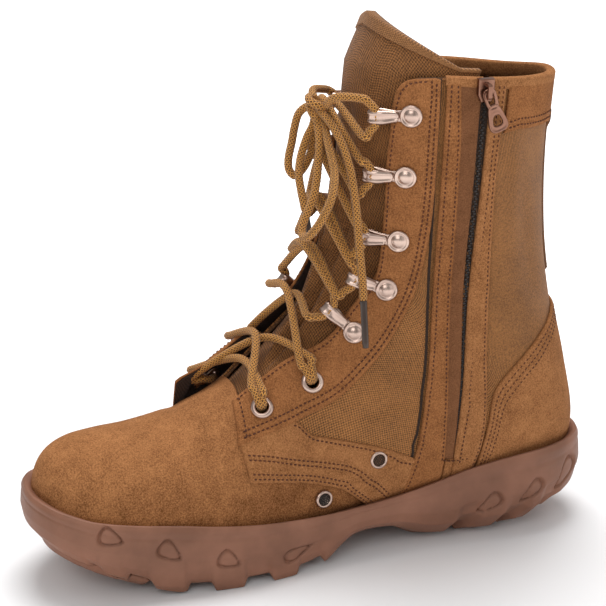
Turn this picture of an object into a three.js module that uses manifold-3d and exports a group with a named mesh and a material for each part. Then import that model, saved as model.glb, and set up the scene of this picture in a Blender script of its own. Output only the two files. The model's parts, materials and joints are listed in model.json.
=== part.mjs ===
// A lace-up combat boot for the right foot, with a side zip, standing on its sole.
// Millimetres. +Y runs to the toe, +X to the outer (lateral) side of the right foot, +Z up.
// The origin lies on the floor, under the middle of the sole.
import * as THREE from "three";
import Module from "manifold-3d";
import { mergeVertices } from "three/addons/utils/BufferGeometryUtils.js";

const wasm = await Module();
wasm.setup();

// ---------------------------------------------------------------- driving sizes
const MEDIAL = -1;
const LATERAL = 1;
const GAP = 0.3; // between pieces that touch
const WALL = 2.2; // suede or cordura with its lining
const INSOLE_THICK = 4.5;
const TONGUE_THICK = 3.0;
const FACING_THICK = 1.8;
const LACE_DIAMETER = 4.0;
const RINGS = 27; // rings along a last
const RING_POINTS = 30; // points round each

// ---------------------------------------------------------------- small helpers
const lerp = (a, b, t) => a + (b - a) * t;
const clamp = (v, lo, hi) => Math.min(hi, Math.max(lo, v));
const smooth = (t) => clamp(t, 0, 1) ** 2 * (3 - 2 * clamp(t, 0, 1));
const range = (n) => Array.from({ length: n }, (_, i) => i);

// A table of rows with named columns, read between its rows along a Catmull-Rom curve.
function table(columns, rows) {
  const last = rows.length - 1;
  return (at) => {
    const s = clamp(at, 0, last);
    const i = Math.min(Math.floor(s), last - 1);
    const t = s - i;
    const row = {};
    columns.forEach((name, c) => {
      const p = [-1, 0, 1, 2].map((k) => rows[clamp(i + k, 0, last)][c]);
      const slopeIn = (p[2] - p[0]) / 2;
      const slopeOut = (p[3] - p[1]) / 2;
      const a = 2 * p[1] - 2 * p[2] + slopeIn + slopeOut;
      const b = -3 * p[1] + 3 * p[2] - 2 * slopeIn - slopeOut;
      row[name] = ((a * t + b) * t + slopeIn) * t + p[1];
    });
    return row;
  };
}

// The same table read by its first column, which falls or rises steadily.
function lookUp(columns, rows) {
  const read = table(columns, rows);
  const rising = rows[rows.length - 1][0] > rows[0][0];
  return (value) => {
    let i = 0;
    while (i < rows.length - 2 && (rising ? value > rows[i + 1][0] : value < rows[i + 1][0])) i += 1;
    const t = (value - rows[i][0]) / (rows[i + 1][0] - rows[i][0]);
    return read(i + clamp(t, 0, 1));
  };
}

// ---------------------------------------------------------------- the last
// Each row is one ring round the foot, seen from the side as a straight line from its back (or
// under) point to its front (or top) point. The rings fan round the instep: upright at the toe,
// slanting through heel and instep, level at the collar. Half widths are from the centre line,
// widest says how far along the line, and under and crown how square the ring's two ends are.
const LAST_COLUMNS = [
  "backY", "backZ", "frontY", "frontZ", "medial", "lateral", "widest", "under", "crown", "centre",
];
const LAST_ROWS = [
  [146.5, 37, 146.5, 43, 0.6, 0.6, 0.5, 2.0, 2.0, -8], // toe tip
  [144, 25, 143.5, 58, 13, 13, 0.42, 2.4, 2.0, -8],
  [138, 18, 137, 66.5, 25, 24, 0.35, 3.0, 2.1, -7],
  [128, 16, 126, 70.5, 35, 33, 0.32, 3.4, 2.2, -5],
  [114, 15, 111, 71.5, 41, 39, 0.3, 3.6, 2.2, -3], // toe cap
  [96, 14, 92, 72, 45, 43, 0.28, 3.6, 2.15, -1],
  [74, 13, 70, 76.5, 46, 46, 0.26, 3.6, 2.0, 0], // ball
  [52, 13, 48, 86, 45, 48, 0.24, 3.6, 1.95, 0],
  [28, 14, 34, 99, 41, 49, 0.22, 3.6, 1.95, 0], // waist
  [4, 16, 23, 111, 36, 47, 0.22, 3.6, 1.95, 0],
  [-22, 18, 13, 123, 33, 44, 0.24, 3.4, 2.0, 0], // instep
  [-50, 20, 6, 134, 32, 40, 0.28, 3.2, 2.0, 0],
  [-82, 21, 1, 147, 33, 38, 0.34, 3.0, 2.1, 0],
  [-114, 22, -3, 162, 34, 37, 0.4, 2.7, 2.2, 0], // heel seat
  [-134.5, 30, -6, 177, 35, 36, 0.44, 2.4, 2.1, 0],
  [-141, 52, -8, 191, 36, 37, 0.46, 2.2, 2.1, 0], // counter
  [-135, 85, -9.5, 204, 37.5, 38.5, 0.47, 2.1, 2.05, 0],
  [-127, 118, -10.5, 216, 39, 40, 0.48, 2.1, 2, 0], // ankle
  [-121, 155, -12, 228, 40.5, 41.5, 0.48, 2.1, 2, 0],
  [-119.5, 197, -13, 238, 42, 42, 0.48, 2.1, 2, 0],
  [-122, 239, -14, 247, 43, 42.5, 0.48, 2.1, 2, 0], // collar
];
const lastRow = table(LAST_COLUMNS, LAST_ROWS);
const COLLAR = LAST_ROWS.length - 1;

// A ring's half width at share r of the way from its back point to its front point.
function halfWidth(row, r, side) {
  const reach = r < row.widest ? row.widest : 1 - row.widest;
  const u = clamp(Math.abs(r - row.widest) / reach, 0, 1);
  const power = r < row.widest ? row.under : row.crown;
  return (side === MEDIAL ? row.medial : row.lateral) * Math.sqrt(1 - u ** power);
}

// The skin of the last at ring s and angle a: 0 at the back point, 180 at the front point,
// and negative on the inner side. The ring's share follows the angle, so that steps stay even.
function skin(s, a) {
  const row = lastRow(s);
  const side = a < 0 ? MEDIAL : LATERAL;
  const turn = (Math.abs(a) * Math.PI) / 180;
  const up = -Math.cos(turn);
  const r = up < 0
    ? row.widest * (1 - Math.abs(up) ** (2 / row.under))
    : row.widest + (1 - row.widest) * up ** (2 / row.crown);
  const along = (side === MEDIAL ? row.medial : row.lateral) * Math.sin(turn);
  return new THREE.Vector3(
    row.centre + side * along,
    lerp(row.backY, row.frontY, r),
    lerp(row.backZ, row.frontZ, r),
  );
}

// A point at a distance outside the skin, along its normal.
function offsetSkin(s, a, distance) {
  const step = 0.02;
  const turn = 1;
  const lo = clamp(s - step, 0.001, COLLAR - step);
  const along = skin(lo + step, a).sub(skin(lo, a));
  const round = skin(s, a + turn).sub(skin(s, a - turn));
  if (Math.abs(a) < turn || Math.abs(Math.abs(a) - 180) < turn) round.set(1, 0, 0);
  if (Math.abs(Math.abs(a) - 180) < turn) round.set(-1, 0, 0);
  const normal = new THREE.Vector3().crossVectors(round, along).normalize();
  return skin(s, a).addScaledVector(normal, distance);
}

// ---------------------------------------------------------------- solids
const up = new THREE.Vector3(0, 0, 1);

// One closed geometry from rings of points, each ring closed on itself, with a fan on each end.
function loft(rings) {
  const n = rings[0].length;
  const points = rings.flat();
  const faces = [];
  range(rings.length - 1).forEach((i) =>
    range(n).forEach((j) => {
      const k = (j + 1) % n;
      const [a, b, c, d] = [i * n + j, i * n + k, (i + 1) * n + k, (i + 1) * n + j];
      faces.push(a, b, c, a, c, d);
    }));
  [0, rings.length - 1].forEach((i) => {
    const middle = rings[i].reduce((sum, p) => sum.add(p), new THREE.Vector3()).divideScalar(n);
    points.push(middle);
    range(n).forEach((j) => {
      const [a, b] = [i * n + j, i * n + ((j + 1) % n)];
      faces.push(...(i ? [a, b, points.length - 1] : [b, a, points.length - 1]));
    });
  });
  return geometry(points, faces);
}

function geometry(points, faces) {
  const flat = new Float32Array(points.flatMap((p) => [p.x, p.y, p.z]));
  return new THREE.BufferGeometry()
    .setAttribute("position", new THREE.BufferAttribute(flat, 3))
    .setIndex(faces);
}

// A geometry as a manifold-3d solid, turned the right way out.
function solid(shape) {
  const bare = shape.index ? shape.toNonIndexed() : shape.clone();
  const only = new THREE.BufferGeometry().setAttribute("position", bare.getAttribute("position"));
  const merged = mergeVertices(only, 1e-4);
  const triVerts = new Uint32Array(merged.index.array);
  const make = () => new wasm.Manifold(new wasm.Mesh({
    numProp: 3, vertProperties: merged.attributes.position.array, triVerts,
  }));
  const made = make();
  if (made.volume() >= 0) return made;
  for (let i = 0; i < triVerts.length; i += 3) {
    [triVerts[i + 1], triVerts[i + 2]] = [triVerts[i + 2], triVerts[i + 1]];
  }
  return make();
}

function geometryOf(made) {
  const { vertProperties, triVerts } = made.getMesh();
  return new THREE.BufferGeometry()
    .setAttribute("position", new THREE.BufferAttribute(new Float32Array(vertProperties), 3))
    .setIndex(new THREE.BufferAttribute(new Uint32Array(triVerts), 1));
}

// The whole last, grown or shrunk by a distance, from ring `from` to the collar.
function lastSolid(distance, from = 0, beyond = 0) {
  const angles = range(RING_POINTS).map((j) => -180 + (360 * j) / RING_POINTS);
  const rings = range(RINGS + 1).map((i) => {
    const s = lerp(from, COLLAR, i / RINGS);
    return angles.map((a) => offsetSkin(s, a, distance));
  });
  if (beyond) rings.push(rings[RINGS].map((p) => p.clone().addScaledVector(up, beyond)));
  return solid(loft(rings));
}

// ---------------------------------------------------------------- the throat
// How far each facing's edge stands from the centre line, ring by ring, from vamp to collar.
const THROAT_START = 7.2;
const throatEdge = lookUp(["ring", "medial", "lateral"], [
  [7.2, 14.5, 14.5], [8.25, 16.2, 16], [9.2, 16.8, 17], [10.5, 19.5, 18], [12.2, 21.8, 18],
  [13.3, 24.4, 18], [14.7, 25.5, 17.5], [17, 28.5, 20], [19, 33, 29], [19.6, 36, 33], [20, 40.5, 39],
]);

// The angle on the last where it stands `across` to one side of the centre line.
function angleAcross(s, across, side) {
  const row = lastRow(s);
  const half = side === MEDIAL ? row.medial : row.lateral;
  return side * (180 - (Math.asin(clamp(across / half, 0, 0.999)) * 180) / Math.PI);
}

// A wedge through the front of the last that cuts the throat open, up through the collar.
function throatCutter() {
  const steps = 26;
  const rings = range(steps + 1).map((i) => {
    const s = lerp(THROAT_START, COLLAR, i / steps);
    const row = lastRow(s);
    const edge = throatEdge(s);
    const corner = (side, r) => new THREE.Vector3(
      row.centre + side * (side === MEDIAL ? edge.medial : edge.lateral),
      lerp(row.backY, row.frontY, r),
      lerp(row.backZ, row.frontZ, r),
    );
    return [corner(MEDIAL, 0.6), corner(LATERAL, 0.6), corner(LATERAL, 1.3), corner(MEDIAL, 1.3)];
  });
  rings.push(rings[steps].map((p) => p.clone().addScaledVector(up, 20)));
  return solid(loft(rings));
}

// ---------------------------------------------------------------- the sole's outline
// Along the sole: half widths from its centre line, the heights of its tread and its rim, and
// how strongly its lower edge tucks in.
const solePlan = lookUp(["y", "medial", "lateral", "centre", "tread", "rim", "tuck"], [
  [151, 46, 44, -8, 27, 50, 1],
  [140, 46.5, 44.5, -7, 22, 47, 0.9],
  [125, 47.5, 45.5, -5, 15, 43, 0.8],
  [105, 49, 47.5, -2, 7.5, 40, 0.6],
  [85, 50.5, 50, 0, 1.5, 37.5, 0.5],
  [65, 51, 52, 0, 0, 34.5, 0.4],
  [45, 50, 53, 0, 0, 32, 0.3],
  [25, 46.5, 53.5, 0, 0, 30, 0.3],
  [5, 42, 52, 0, 3, 28.5, 0.4],
  [-12, 38.5, 49, 0, 12, 28.5, 0.9],
  [-35, 36, 46, 0, 11, 30.5, 1.2],
  [-55, 36, 43.5, 0, 2, 35, 1.9],
  [-75, 36.5, 41.5, 0, 0, 40.5, 1.9],
  [-100, 37.5, 41, 0, 0, 45, 1.9],
  [-122, 37.5, 40, 0, 3, 46.5, 1.9],
  [-138, 37, 39, 0, 9, 46.5, 1.9],
  [-148, 37, 39, 0, 15, 46.5, 1.9],
]);
const SOLE_TOE = 151;
const SOLE_HEEL = -148;
const TOE_ROUND = { from: 82, power: 2.4 };
const HEEL_ROUND = { from: -98, power: 2.1 };
// The side wall, from the tread to the rim: share of the height, and how far in from the widest.
const SOLE_LEVELS = [[0, 9], [0.1, 4.5], [0.3, 1], [0.55, 0], [0.85, 0.6], [1, 2]];
const SOLE_STEPS = 30;

// One edge point of the sole at the share and inset of a level. i runs from toe to heel.
function solePoint(i, side, [share, tuckedIn]) {
  const middle = (SOLE_TOE + SOLE_HEEL) / 2;
  const y = middle + ((SOLE_TOE - SOLE_HEEL) / 2) * Math.cos((Math.PI * i) / SOLE_STEPS);
  const [round, end] = y > 0 ? [TOE_ROUND, SOLE_TOE] : [HEEL_ROUND, SOLE_HEEL];
  const beyond = clamp((y - round.from) / (end - round.from), 0, 1);
  const row = solePlan(y);
  const half = side === MEDIAL ? row.medial : row.lateral;
  const inset = tuckedIn * (share < 0.5 ? row.tuck : 1);
  return new THREE.Vector3(
    row.centre + side * (half - inset) * (1 - beyond ** round.power) ** (1 / round.power),
    lerp(y, middle, (2 * inset) / (SOLE_TOE - SOLE_HEEL)),
    lerp(Math.max(0, row.tread), row.rim, share),
  );
}

function soleLoop(level) {
  const down = range(SOLE_STEPS + 1).map((i) => solePoint(i, MEDIAL, level));
  const back = range(SOLE_STEPS - 1).map((i) => solePoint(SOLE_STEPS - 1 - i, LATERAL, level));
  return [...down, ...back];
}

// The sole's block: loops joined into a wall, with strips across its tread and its top.
function soleBlock() {
  const loops = SOLE_LEVELS.map(soleLoop);
  const n = loops[0].length;
  const faces = [];
  range(loops.length - 1).forEach((i) => range(n).forEach((j) => {
    const k = (j + 1) % n;
    faces.push(i * n + j, i * n + k, (i + 1) * n + k, i * n + j, (i + 1) * n + k, (i + 1) * n + j);
  }));
  [0, loops.length - 1].forEach((i) => range(SOLE_STEPS).forEach((j) => {
    const mate = (m) => i * n + ((n - m) % n);
    const [a, b, c, d] = [i * n + j, i * n + j + 1, mate(j + 1), mate(j)];
    const strip = j === 0 ? [a, b, c] : j === SOLE_STEPS - 1 ? [a, b, d] : [a, b, c, a, c, d];
    faces.push(...(i ? strip : strip.slice().reverse()));
  }));
  return solid(geometry(loops.flat(), faces));
}

// Channels across the tread, each a trapezium seen from the side: from y, to y, and depth.
const TREAD_CHANNELS = [
  [128, 123, 3], [110, 99, 4], [79, 68, 4.5], [49, 37, 4.5], [20, 8, 4],
  [-66, -72, 3.5], [-88, -94, 3.5], [-110, -116, 3.5], [-131, -136, 3],
];
const CHANNEL_SLOPE = 2.2; // each side of a channel leans this far outwards at its mouth

// A prism whose outline is drawn in the side view, y and z, from one x to another.
function sidePrism(outline, fromX, toX) {
  const shape = new THREE.Shape(outline.map(([y, z]) => new THREE.Vector2(y, z)));
  const made = new THREE.ExtrudeGeometry(shape, { depth: toX - fromX, bevelEnabled: false });
  const turn = new THREE.Matrix4().set(0, 0, 1, fromX, 1, 0, 0, 0, 0, 1, 0, 0, 0, 0, 0, 1);
  return solid(made.applyMatrix4(turn));
}

function treadCutters() {
  const across = TREAD_CHANNELS.map(([from, to, depth]) => {
    const floor = Math.max(0, solePlan((from + to) / 2).tread);
    return sidePrism([
      [to - CHANNEL_SLOPE, floor - 6], [from + CHANNEL_SLOPE, floor - 6],
      [from, floor + depth], [to, floor + depth],
    ], -70, 70);
  });
  const middle = new THREE.BoxGeometry(7, 104, 8).translate(0, 62, 0);
  return [...across, solid(middle)];
}

// ---------------------------------------------------------------- the bottom of the boot
// Height of the last's underside along the foot.
const footbed = lookUp(["y", "z"], [
  [150, 26], [138, 18], [128, 16], [96, 14], [52, 13], [4, 16], [-50, 20], [-114, 22], [-150, 23],
]);

// A slab across the whole boot between two heights above the footbed.
function footbedSlab(low, high) {
  const steps = 16;
  const rings = range(steps + 1).map((i) => {
    const y = lerp(160, -160, i / steps);
    const z = footbed(y).z;
    const corners = [[-70, low], [70, low], [70, high], [-70, high]];
    return corners.map(([x, h]) => new THREE.Vector3(x, y, z + h));
  });
  return solid(loft(rings));
}

const LASTING_MARGIN = 9; // what the upper turns in under the foot
function underHole() {
  return lastSolid(-WALL - LASTING_MARGIN).translate([0, 0, -14]).intersect(footbedSlab(-20, 12));
}

const outer = lastSolid(0);
const hollow = lastSolid(-WALL, 0, 30);
const upper = outer.subtract(hollow).subtract(underHole()).subtract(throatCutter());
const outsole = treadCutters().reduce((sole, cutter) => sole.subtract(cutter), soleBlock())
  .subtract(lastSolid(GAP));
const insole = lastSolid(-WALL - GAP).intersect(footbedSlab(-20, WALL + GAP + INSOLE_THICK));

// ---------------------------------------------------------------- panels on the upper
// A panel of a thickness, cut from between two forms a little larger than the upper.
function panel(thick, cutter) {
  const shell = lastSolid(GAP + thick).subtract(lastSolid(GAP, 0, 4));
  const rim = soleBlock();
  return shell.intersect(cutter).subtract(rim).subtract(rim.translate([0, 0, GAP]));
}

// The facings, which carry the hooks: corners in the side view, from the front corner backwards
// along the lower edge, up to the collar and forward past the throat.
const FACING_OUTLINE = [
  [48.5, 67.5], [33, 71.5], [15, 76], [-6, 86], [-25, 102], [-38, 122], [-47.5, 143], [-51, 175],
  [-52.5, 211], [-52, 254], [20, 254], [62, 118], [49, 96], [50, 86], [50, 79],
];
// How far the outer facing's front corner is pulled open, forwards and upwards.
const FACING_FLARE = { forward: 15, up: 9, from: 2, over: 42 };

// Where a point of the outer facing goes when its front corner is pulled open.
function flared(point) {
  const { forward, up: upward, from, over } = FACING_FLARE;
  const amount = smooth((point.y - from) / over) * smooth((40 - point.x) / 16);
  return point.clone().add(new THREE.Vector3(0, forward * amount, upward * amount));
}

// A prism of the side outline of one strip, a given half width either side of a line.
function stripOutline(line, half) {
  const edge = (sign) => line.map(([y, z], i) => {
    const [a, b] = [line[Math.max(0, i - 1)], line[Math.min(line.length - 1, i + 1)]];
    const length = Math.hypot(b[0] - a[0], b[1] - a[1]);
    return [y - (sign * half * (b[1] - a[1])) / length, z + (sign * half * (b[0] - a[0])) / length];
  });
  return [...edge(1), ...edge(-1).reverse()];
}

const COUNTER_OUTLINE = [
  [-119, 119], [-106, 108], [-95, 93], [-88, 79], [-85.5, 61], [-80, 41], [-80, 20], [-170, 20], [-170, 135],
];
const ZIP_LINE = [[-72, 231], [-72.6, 219], [-72.5, 175], [-71, 154], [-67.5, 90], [-65.8, 50]];
const ZIP_HALF_WIDTH = 2.6;
const ZIP_THICK = 1.2;
const COUNTER_THICK = 1.3;
const STRAP = { halfWidth: 10, from: 134, to: 222, thick: 1.8 };
const PULL_TAB_BUMP = { at: 216, half: 5, thick: 3.4 };

// ---------------------------------------------------------------- metal pieces
// The frame of a small piece that sits on the upper: its origin on the skin, its u axis along
// the skin towards the throat turned by `drop` degrees down from the ring, w outwards.
function seat(s, a, height, drop) {
  const at = offsetSkin(s, a, height);
  const outward = at.clone().sub(skin(s, a)).normalize();
  const towards = skin(s, a + 2 * Math.sign(a)).sub(skin(s, a));
  towards.addScaledVector(outward, -towards.dot(outward)).normalize();
  towards.applyAxisAngle(outward, (-Math.sign(a) * drop * Math.PI) / 180);
  const across = new THREE.Vector3().crossVectors(outward, towards);
  return new THREE.Matrix4().makeBasis(towards, across, outward).setPosition(at);
}

const place = (made, matrix) => made.transform(matrix.toArray());

// A ring-like solid turned from a closed profile of radius and height.
function turned(profile, sides) {
  const points = profile.map(([r, h]) => new THREE.Vector2(r, h));
  const made = new THREE.LatheGeometry([...points, points[0].clone()], sides);
  return solid(made.rotateX(Math.PI / 2));
}

function disc(radius, thick, sides) {
  return solid(new THREE.CylinderGeometry(radius, radius, thick, sides)
    .rotateX(Math.PI / 2).translate(0, 0, thick / 2));
}

// A strip bent along a path of u and w, drawn by its outline and extruded across.
function bentStrip(outline, width) {
  const shape = new THREE.Shape(outline.map(([u, w]) => new THREE.Vector2(u, w)));
  const made = new THREE.ExtrudeGeometry(shape, { depth: width, bevelEnabled: false });
  return solid(made.translate(0, 0, -width / 2).rotateX(Math.PI / 2));
}

const HOOK = {
  disc: 5.3, thick: 1.1, reach: 19.5, neck: 4.4, width: 7, slot: 4.4, lip: 10, pitch: 7, rivet: 2.4,
};

// One lace hook: a riveted disc, and a tongue that folds back over itself to hold the lace.
function hook() {
  const bend = HOOK.slot / 2 + HOOK.thick;
  const turn = HOOK.reach - bend;
  const arc = (radius, from, to) => range(7).map((i) => {
    const angle = (lerp(from, to, i / 6) * Math.PI) / 180;
    return [turn + radius * Math.cos(angle), bend + radius * Math.sin(angle)];
  });
  const curl = bentStrip([
    [9, 0], ...arc(bend, -90, 90), [HOOK.reach - HOOK.lip, 2 * bend],
    [HOOK.reach - HOOK.lip, 2 * bend - HOOK.thick], ...arc(bend - HOOK.thick, 90, -90), [9, HOOK.thick],
  ], HOOK.width);
  const neck = bentStrip([[2, 0], [10, 0], [10, HOOK.thick], [2, HOOK.thick]], HOOK.neck);
  const arm = curl.add(neck).rotate([0, HOOK.pitch, 0]);
  const rivet = new THREE.SphereGeometry(HOOK.rivet + 1.6, 12, 6)
    .scale(1, 1, 0.5)
    .translate(0, 0, HOOK.thick);
  return disc(HOOK.disc, HOOK.thick, 16).add(arm).add(solid(rivet));
}

// Hooks and eyelets: ring and angle of each centre on each side, and how far the hook's tongue
// is turned down from its ring.
const HOOKS = [
  { name: "a", medial: [11.75, 132.8], lateral: [11.75, 137], drop: 13 },
  { name: "b", medial: [13.45, 128.6], lateral: [13.45, 136], drop: 29 },
  { name: "c", medial: [15.05, 128], lateral: [15.05, 136], drop: 37 },
  { name: "d", medial: [17.15, 124.8], lateral: [17.15, 133], drop: 34 },
  { name: "e", medial: [18.9, 123.5], lateral: [18.9, 122], drop: 22 },
];
const EYELETS = [
  { name: "a", medial: [7.93, 141.5], lateral: [7.93, 141.5] },
  { name: "b", medial: [9.7, 132.7], lateral: [9.7, 139] },
];
const EYELET = { flange: 5.6, hole: 3.1, wall: 0.6, dome: 1.3, down: 2 };
const FACING_TOP = GAP + FACING_THICK;

function eyelet() {
  const { flange, hole, wall, dome, down } = EYELET;
  return turned([
    [hole, -down], [hole + wall, -down], [hole + wall, 0], [flange, 0], [flange, dome * 0.4],
    [flange - 1, dome], [hole + 0.5, dome], [hole, dome * 0.5],
  ], 14);
}

const VENTS = [{ name: "a", at: [10.58, -92.6] }, { name: "b", at: [9.09, -89.5] }];
function vent() {
  return turned([[0.01, 0], [4.6, 0], [4.6, 0.6], [4, 1.3], [3.4, 1.3], [3, 0.5], [0.01, 0.5]], 16);
}

// ---------------------------------------------------------------- zip slider and its pull
const SLIDER = { ring: 19.78, angle: -89.5, width: 8, length: 11, thick: 4.2, tilt: 20 };
const BAIL = { width: 2, length: 7.4, height: 4.2, thick: 1.3 };
const PULL = { bar: 0.8, barUp: 1.6, inner: 6.6, leg: 1.6, start: 5, length: 21, width: 10.5, thick: 1.6 };

const box = (sx, sy, sz, x, y, z) => solid(new THREE.BoxGeometry(sx, sy, sz).translate(x, y, z));

// u runs down the zip, v across it and w outwards.
function sliderSolid() {
  const { width, length, thick } = SLIDER;
  const shape = new THREE.Shape([
    [-length / 2, -width / 2], [length * 0.2, -width / 2], [length / 2, -width * 0.3],
    [length / 2, width * 0.3], [length * 0.2, width / 2], [-length / 2, width / 2],
  ].map(([u, v]) => new THREE.Vector2(u, v)));
  const body = solid(new THREE.ExtrudeGeometry(shape, {
    depth: thick - 1,
    bevelEnabled: true,
    bevelThickness: 0.5,
    bevelSize: 0.5,
    bevelOffset: -0.5,
    bevelSegments: 1,
  }).translate(0, 0, 0.5));
  const top = thick + BAIL.height;
  const end = BAIL.length / 2;
  const bail = bentStrip([
    [-end, thick - 0.4], [-end, top - 1], [-end + 1, top], [end - 1, top], [end, top - 1], [end, thick - 0.4],
    [end - BAIL.thick, thick - 0.4], [end - BAIL.thick, top - BAIL.thick],
    [BAIL.thick - end, top - BAIL.thick], [BAIL.thick - end, thick - 0.4],
  ], BAIL.width);
  return body.add(bail);
}

// The pull about its bar: u from the bar down to the tab's end.
function pullSolid() {
  const { bar, inner, leg, start, length, width, thick } = PULL;
  const rod = solid(new THREE.CylinderGeometry(bar, bar, inner + 2 * leg, 12));
  const legs = [-1, 1].map((side) => box(start + 2, leg, thick, start / 2, side * (inner + leg) / 2, 0));
  const outline = [
    [start, -width * 0.46], [length - 2.5, -width / 2], [length, -width / 2 + 2.5],
    [length, width / 2 - 2.5], [length - 2.5, width / 2], [start, width * 0.46],
  ];
  const shape = new THREE.Shape(outline.map(([u, v]) => new THREE.Vector2(u, v)));
  const window = new THREE.Path([
    [start + 2.2, -2.9], [start + 9, -3.2], [start + 9, 3.2], [start + 2.2, 2.9],
  ].map(([u, v]) => new THREE.Vector2(u, v)));
  shape.holes.push(window);
  const tab = solid(new THREE.ExtrudeGeometry(shape, { depth: thick, bevelEnabled: false })
    .translate(0, 0, -thick / 2));
  const drill = new THREE.CylinderGeometry(1.1, 1.1, 4, 10).rotateX(Math.PI / 2);
  const hole = solid(drill.translate(length - 3.2, 0, 0));
  return legs.reduce((all, one) => all.add(one), rod).add(tab).subtract(hole);
}

function sliderSeat() {
  const at = offsetSkin(SLIDER.ring, SLIDER.angle, GAP);
  const outward = at.clone().sub(skin(SLIDER.ring, SLIDER.angle)).normalize();
  const down = new THREE.Vector3(0, 0, -1);
  down.addScaledVector(outward, -down.dot(outward)).normalize();
  const across = new THREE.Vector3().crossVectors(outward, down);
  return new THREE.Matrix4().makeBasis(down, across, outward).setPosition(at);
}

function pullSeat() {
  const raised = new THREE.Matrix4().makeTranslation(0, 0, SLIDER.thick + PULL.barUp);
  const tilt = new THREE.Matrix4().makeRotationZ((SLIDER.tilt * Math.PI) / 180);
  return sliderSeat().multiply(raised).multiply(tilt);
}

// ---------------------------------------------------------------- laces
// A round cord through points, closed at both ends.
function cord(points, steps, sides = 8, radius = LACE_DIAMETER / 2) {
  const path = new THREE.CatmullRomCurve3(points, false, "centripetal");
  const round = new THREE.Shape(range(sides).map((i) => {
    const angle = (2 * Math.PI * i) / sides;
    return new THREE.Vector2(radius * Math.cos(angle), radius * Math.sin(angle));
  }));
  return solid(new THREE.ExtrudeGeometry(round, { extrudePath: path, steps, bevelEnabled: false }));
}

// Where a lace strand of one row and side starts: beyond the tip of its hook or, for an eyelet,
// just past the facing's edge.
function laceEnd(row, side) {
  const isHook = row >= EYELETS.length;
  const holder = isHook ? HOOKS[row - EYELETS.length] : EYELETS[row];
  const [ring, angle] = side === MEDIAL ? holder.medial : holder.lateral;
  if (!isHook) {
    const edge = throatEdge(ring);
    const across = (side === MEDIAL ? edge.medial : edge.lateral) - LACE_DIAMETER / 2 - 1.2;
    const past = offsetSkin(ring, angleAcross(ring, across, side), FACING_TOP + 1.2);
    return side === LATERAL ? flared(past) : past;
  }
  const matrix = seat(ring, side * angle, FACING_TOP + GAP, holder.drop);
  if (side === LATERAL) matrix.setPosition(flared(new THREE.Vector3().setFromMatrixPosition(matrix)));
  return new THREE.Vector3(HOOK.reach + LACE_DIAMETER / 2 + 0.6, 0, 1.2).applyMatrix4(matrix);
}

const KNOT = { at: new THREE.Vector3(-1, -2, 224.5), clear: 10.5 };

// The bow's loops and ends, each a list of points.
const LOOP_FRONT = [
  [-7, 2, 214], [-11, 5.5, 204], [-14, 7.5, 190], [-15, 8.5, 177], [-14, 11.5, 166], [-15, 13, 161],
  [-19, 12, 161.5], [-23, 8, 169], [-25, 3.5, 183], [-23, 1, 197], [-16, 0.5, 209], [-12, 1, 215],
];
const LOOP_BACK = [
  [2, 6.5, 224.5], [3, 9, 218], [2, 11.5, 209], [1, 13, 201], [2, 11, 195], [6, 8.5, 197], [10, 5.5, 203],
  [12, 2.5, 211],
];
const END_MEDIAL = [
  [-12, 3.5, 221], [-20, 0, 213], [-29, -5.5, 200], [-37, -8.5, 178], [-40, -10.5, 150], [-40, -12, 137],
];
const END_LATERAL = [[0, 4, 214], [0, 3.5, 206], [-1, 6, 196], [-2, 8.5, 184], [-3, 8.5, 174]];
const AGLET = { length: 21, radius: 2.3 };
const CROSSING_HEIGHT = 3.4; // of a strand's middle above the skin, halfway across the throat

// The strands between the rows: a bar across the first eyelets, then pairs that cross.
function crossings() {
  const rows = EYELETS.length + HOOKS.length;
  const strand = (rowA, sideA, rowB, sideB) => {
    const [from, to] = [laceEnd(rowA, sideA), laceEnd(rowB, sideB)];
    const ringOf = (row) => [...EYELETS, ...HOOKS][row].medial[0];
    const middle = offsetSkin((ringOf(rowA) + ringOf(rowB)) / 2, 179.5, CROSSING_HEIGHT);
    const chord = from.clone().add(to).multiplyScalar(0.5);
    middle.x = chord.x;
    const rise = middle.clone().sub(chord).multiplyScalar(0.25);
    const quarter = (end) => end.clone().lerp(middle, 0.5).add(rise);
    return cord([from, quarter(from), middle, quarter(to), to], 6);
  };
  const all = [strand(0, MEDIAL, 0, LATERAL)];
  range(rows - 1).forEach((row) => {
    all.push(strand(row, MEDIAL, row + 1, LATERAL), strand(row, LATERAL, row + 1, MEDIAL));
  });
  all.push(...[MEDIAL, LATERAL].map((side) => {
    const from = laceEnd(rows - 1, side);
    const over = from.clone().lerp(KNOT.at, 0.5).add(new THREE.Vector3(side * 4, 4, 5));
    const to = KNOT.at.clone().add(new THREE.Vector3(side * KNOT.clear, -1, 0));
    return cord([from, over, to], 6);
  }));
  return all.reduce((sum, one) => sum.add(one));
}

// The knot of the bow: two wraps and the crossing under them.
function knotSolid() {
  const wrap = (tilt, size) => cord(range(7).map((i) => {
    const angle = (Math.PI * (i / 6 - 0.5)) * 1.15;
    return new THREE.Vector3(size * Math.sin(angle), size * Math.cos(angle) - 2, tilt * Math.sin(angle))
      .add(KNOT.at);
  }), 8);
  const under = cord([[-5, -2, -3], [0, -0.5, 0], [5, -2, 3]]
    .map(([x, y, z]) => new THREE.Vector3(x, y, z).add(KNOT.at)), 4);
  return wrap(2.2, 5.2).add(wrap(-2.6, 5.6)).add(under);
}

// ---------------------------------------------------------------- the tongue
const TONGUE_DEPTH = WALL + 1.4; // its outer face lies this far inside the skin
const TONGUE = { from: 5.6, steps: 14, across: 14, above: 25 };

// How far round the tongue reaches on each side of the front, in degrees, ring by ring.
const tongueReach = lookUp(["ring", "medial", "lateral"], [
  [5.6, 26, 26], [7, 34, 34], [9, 42, 42], [12, 56, 56], [15, 66, 62], [18, 76, 70], [20, 90, 80],
]);

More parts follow.
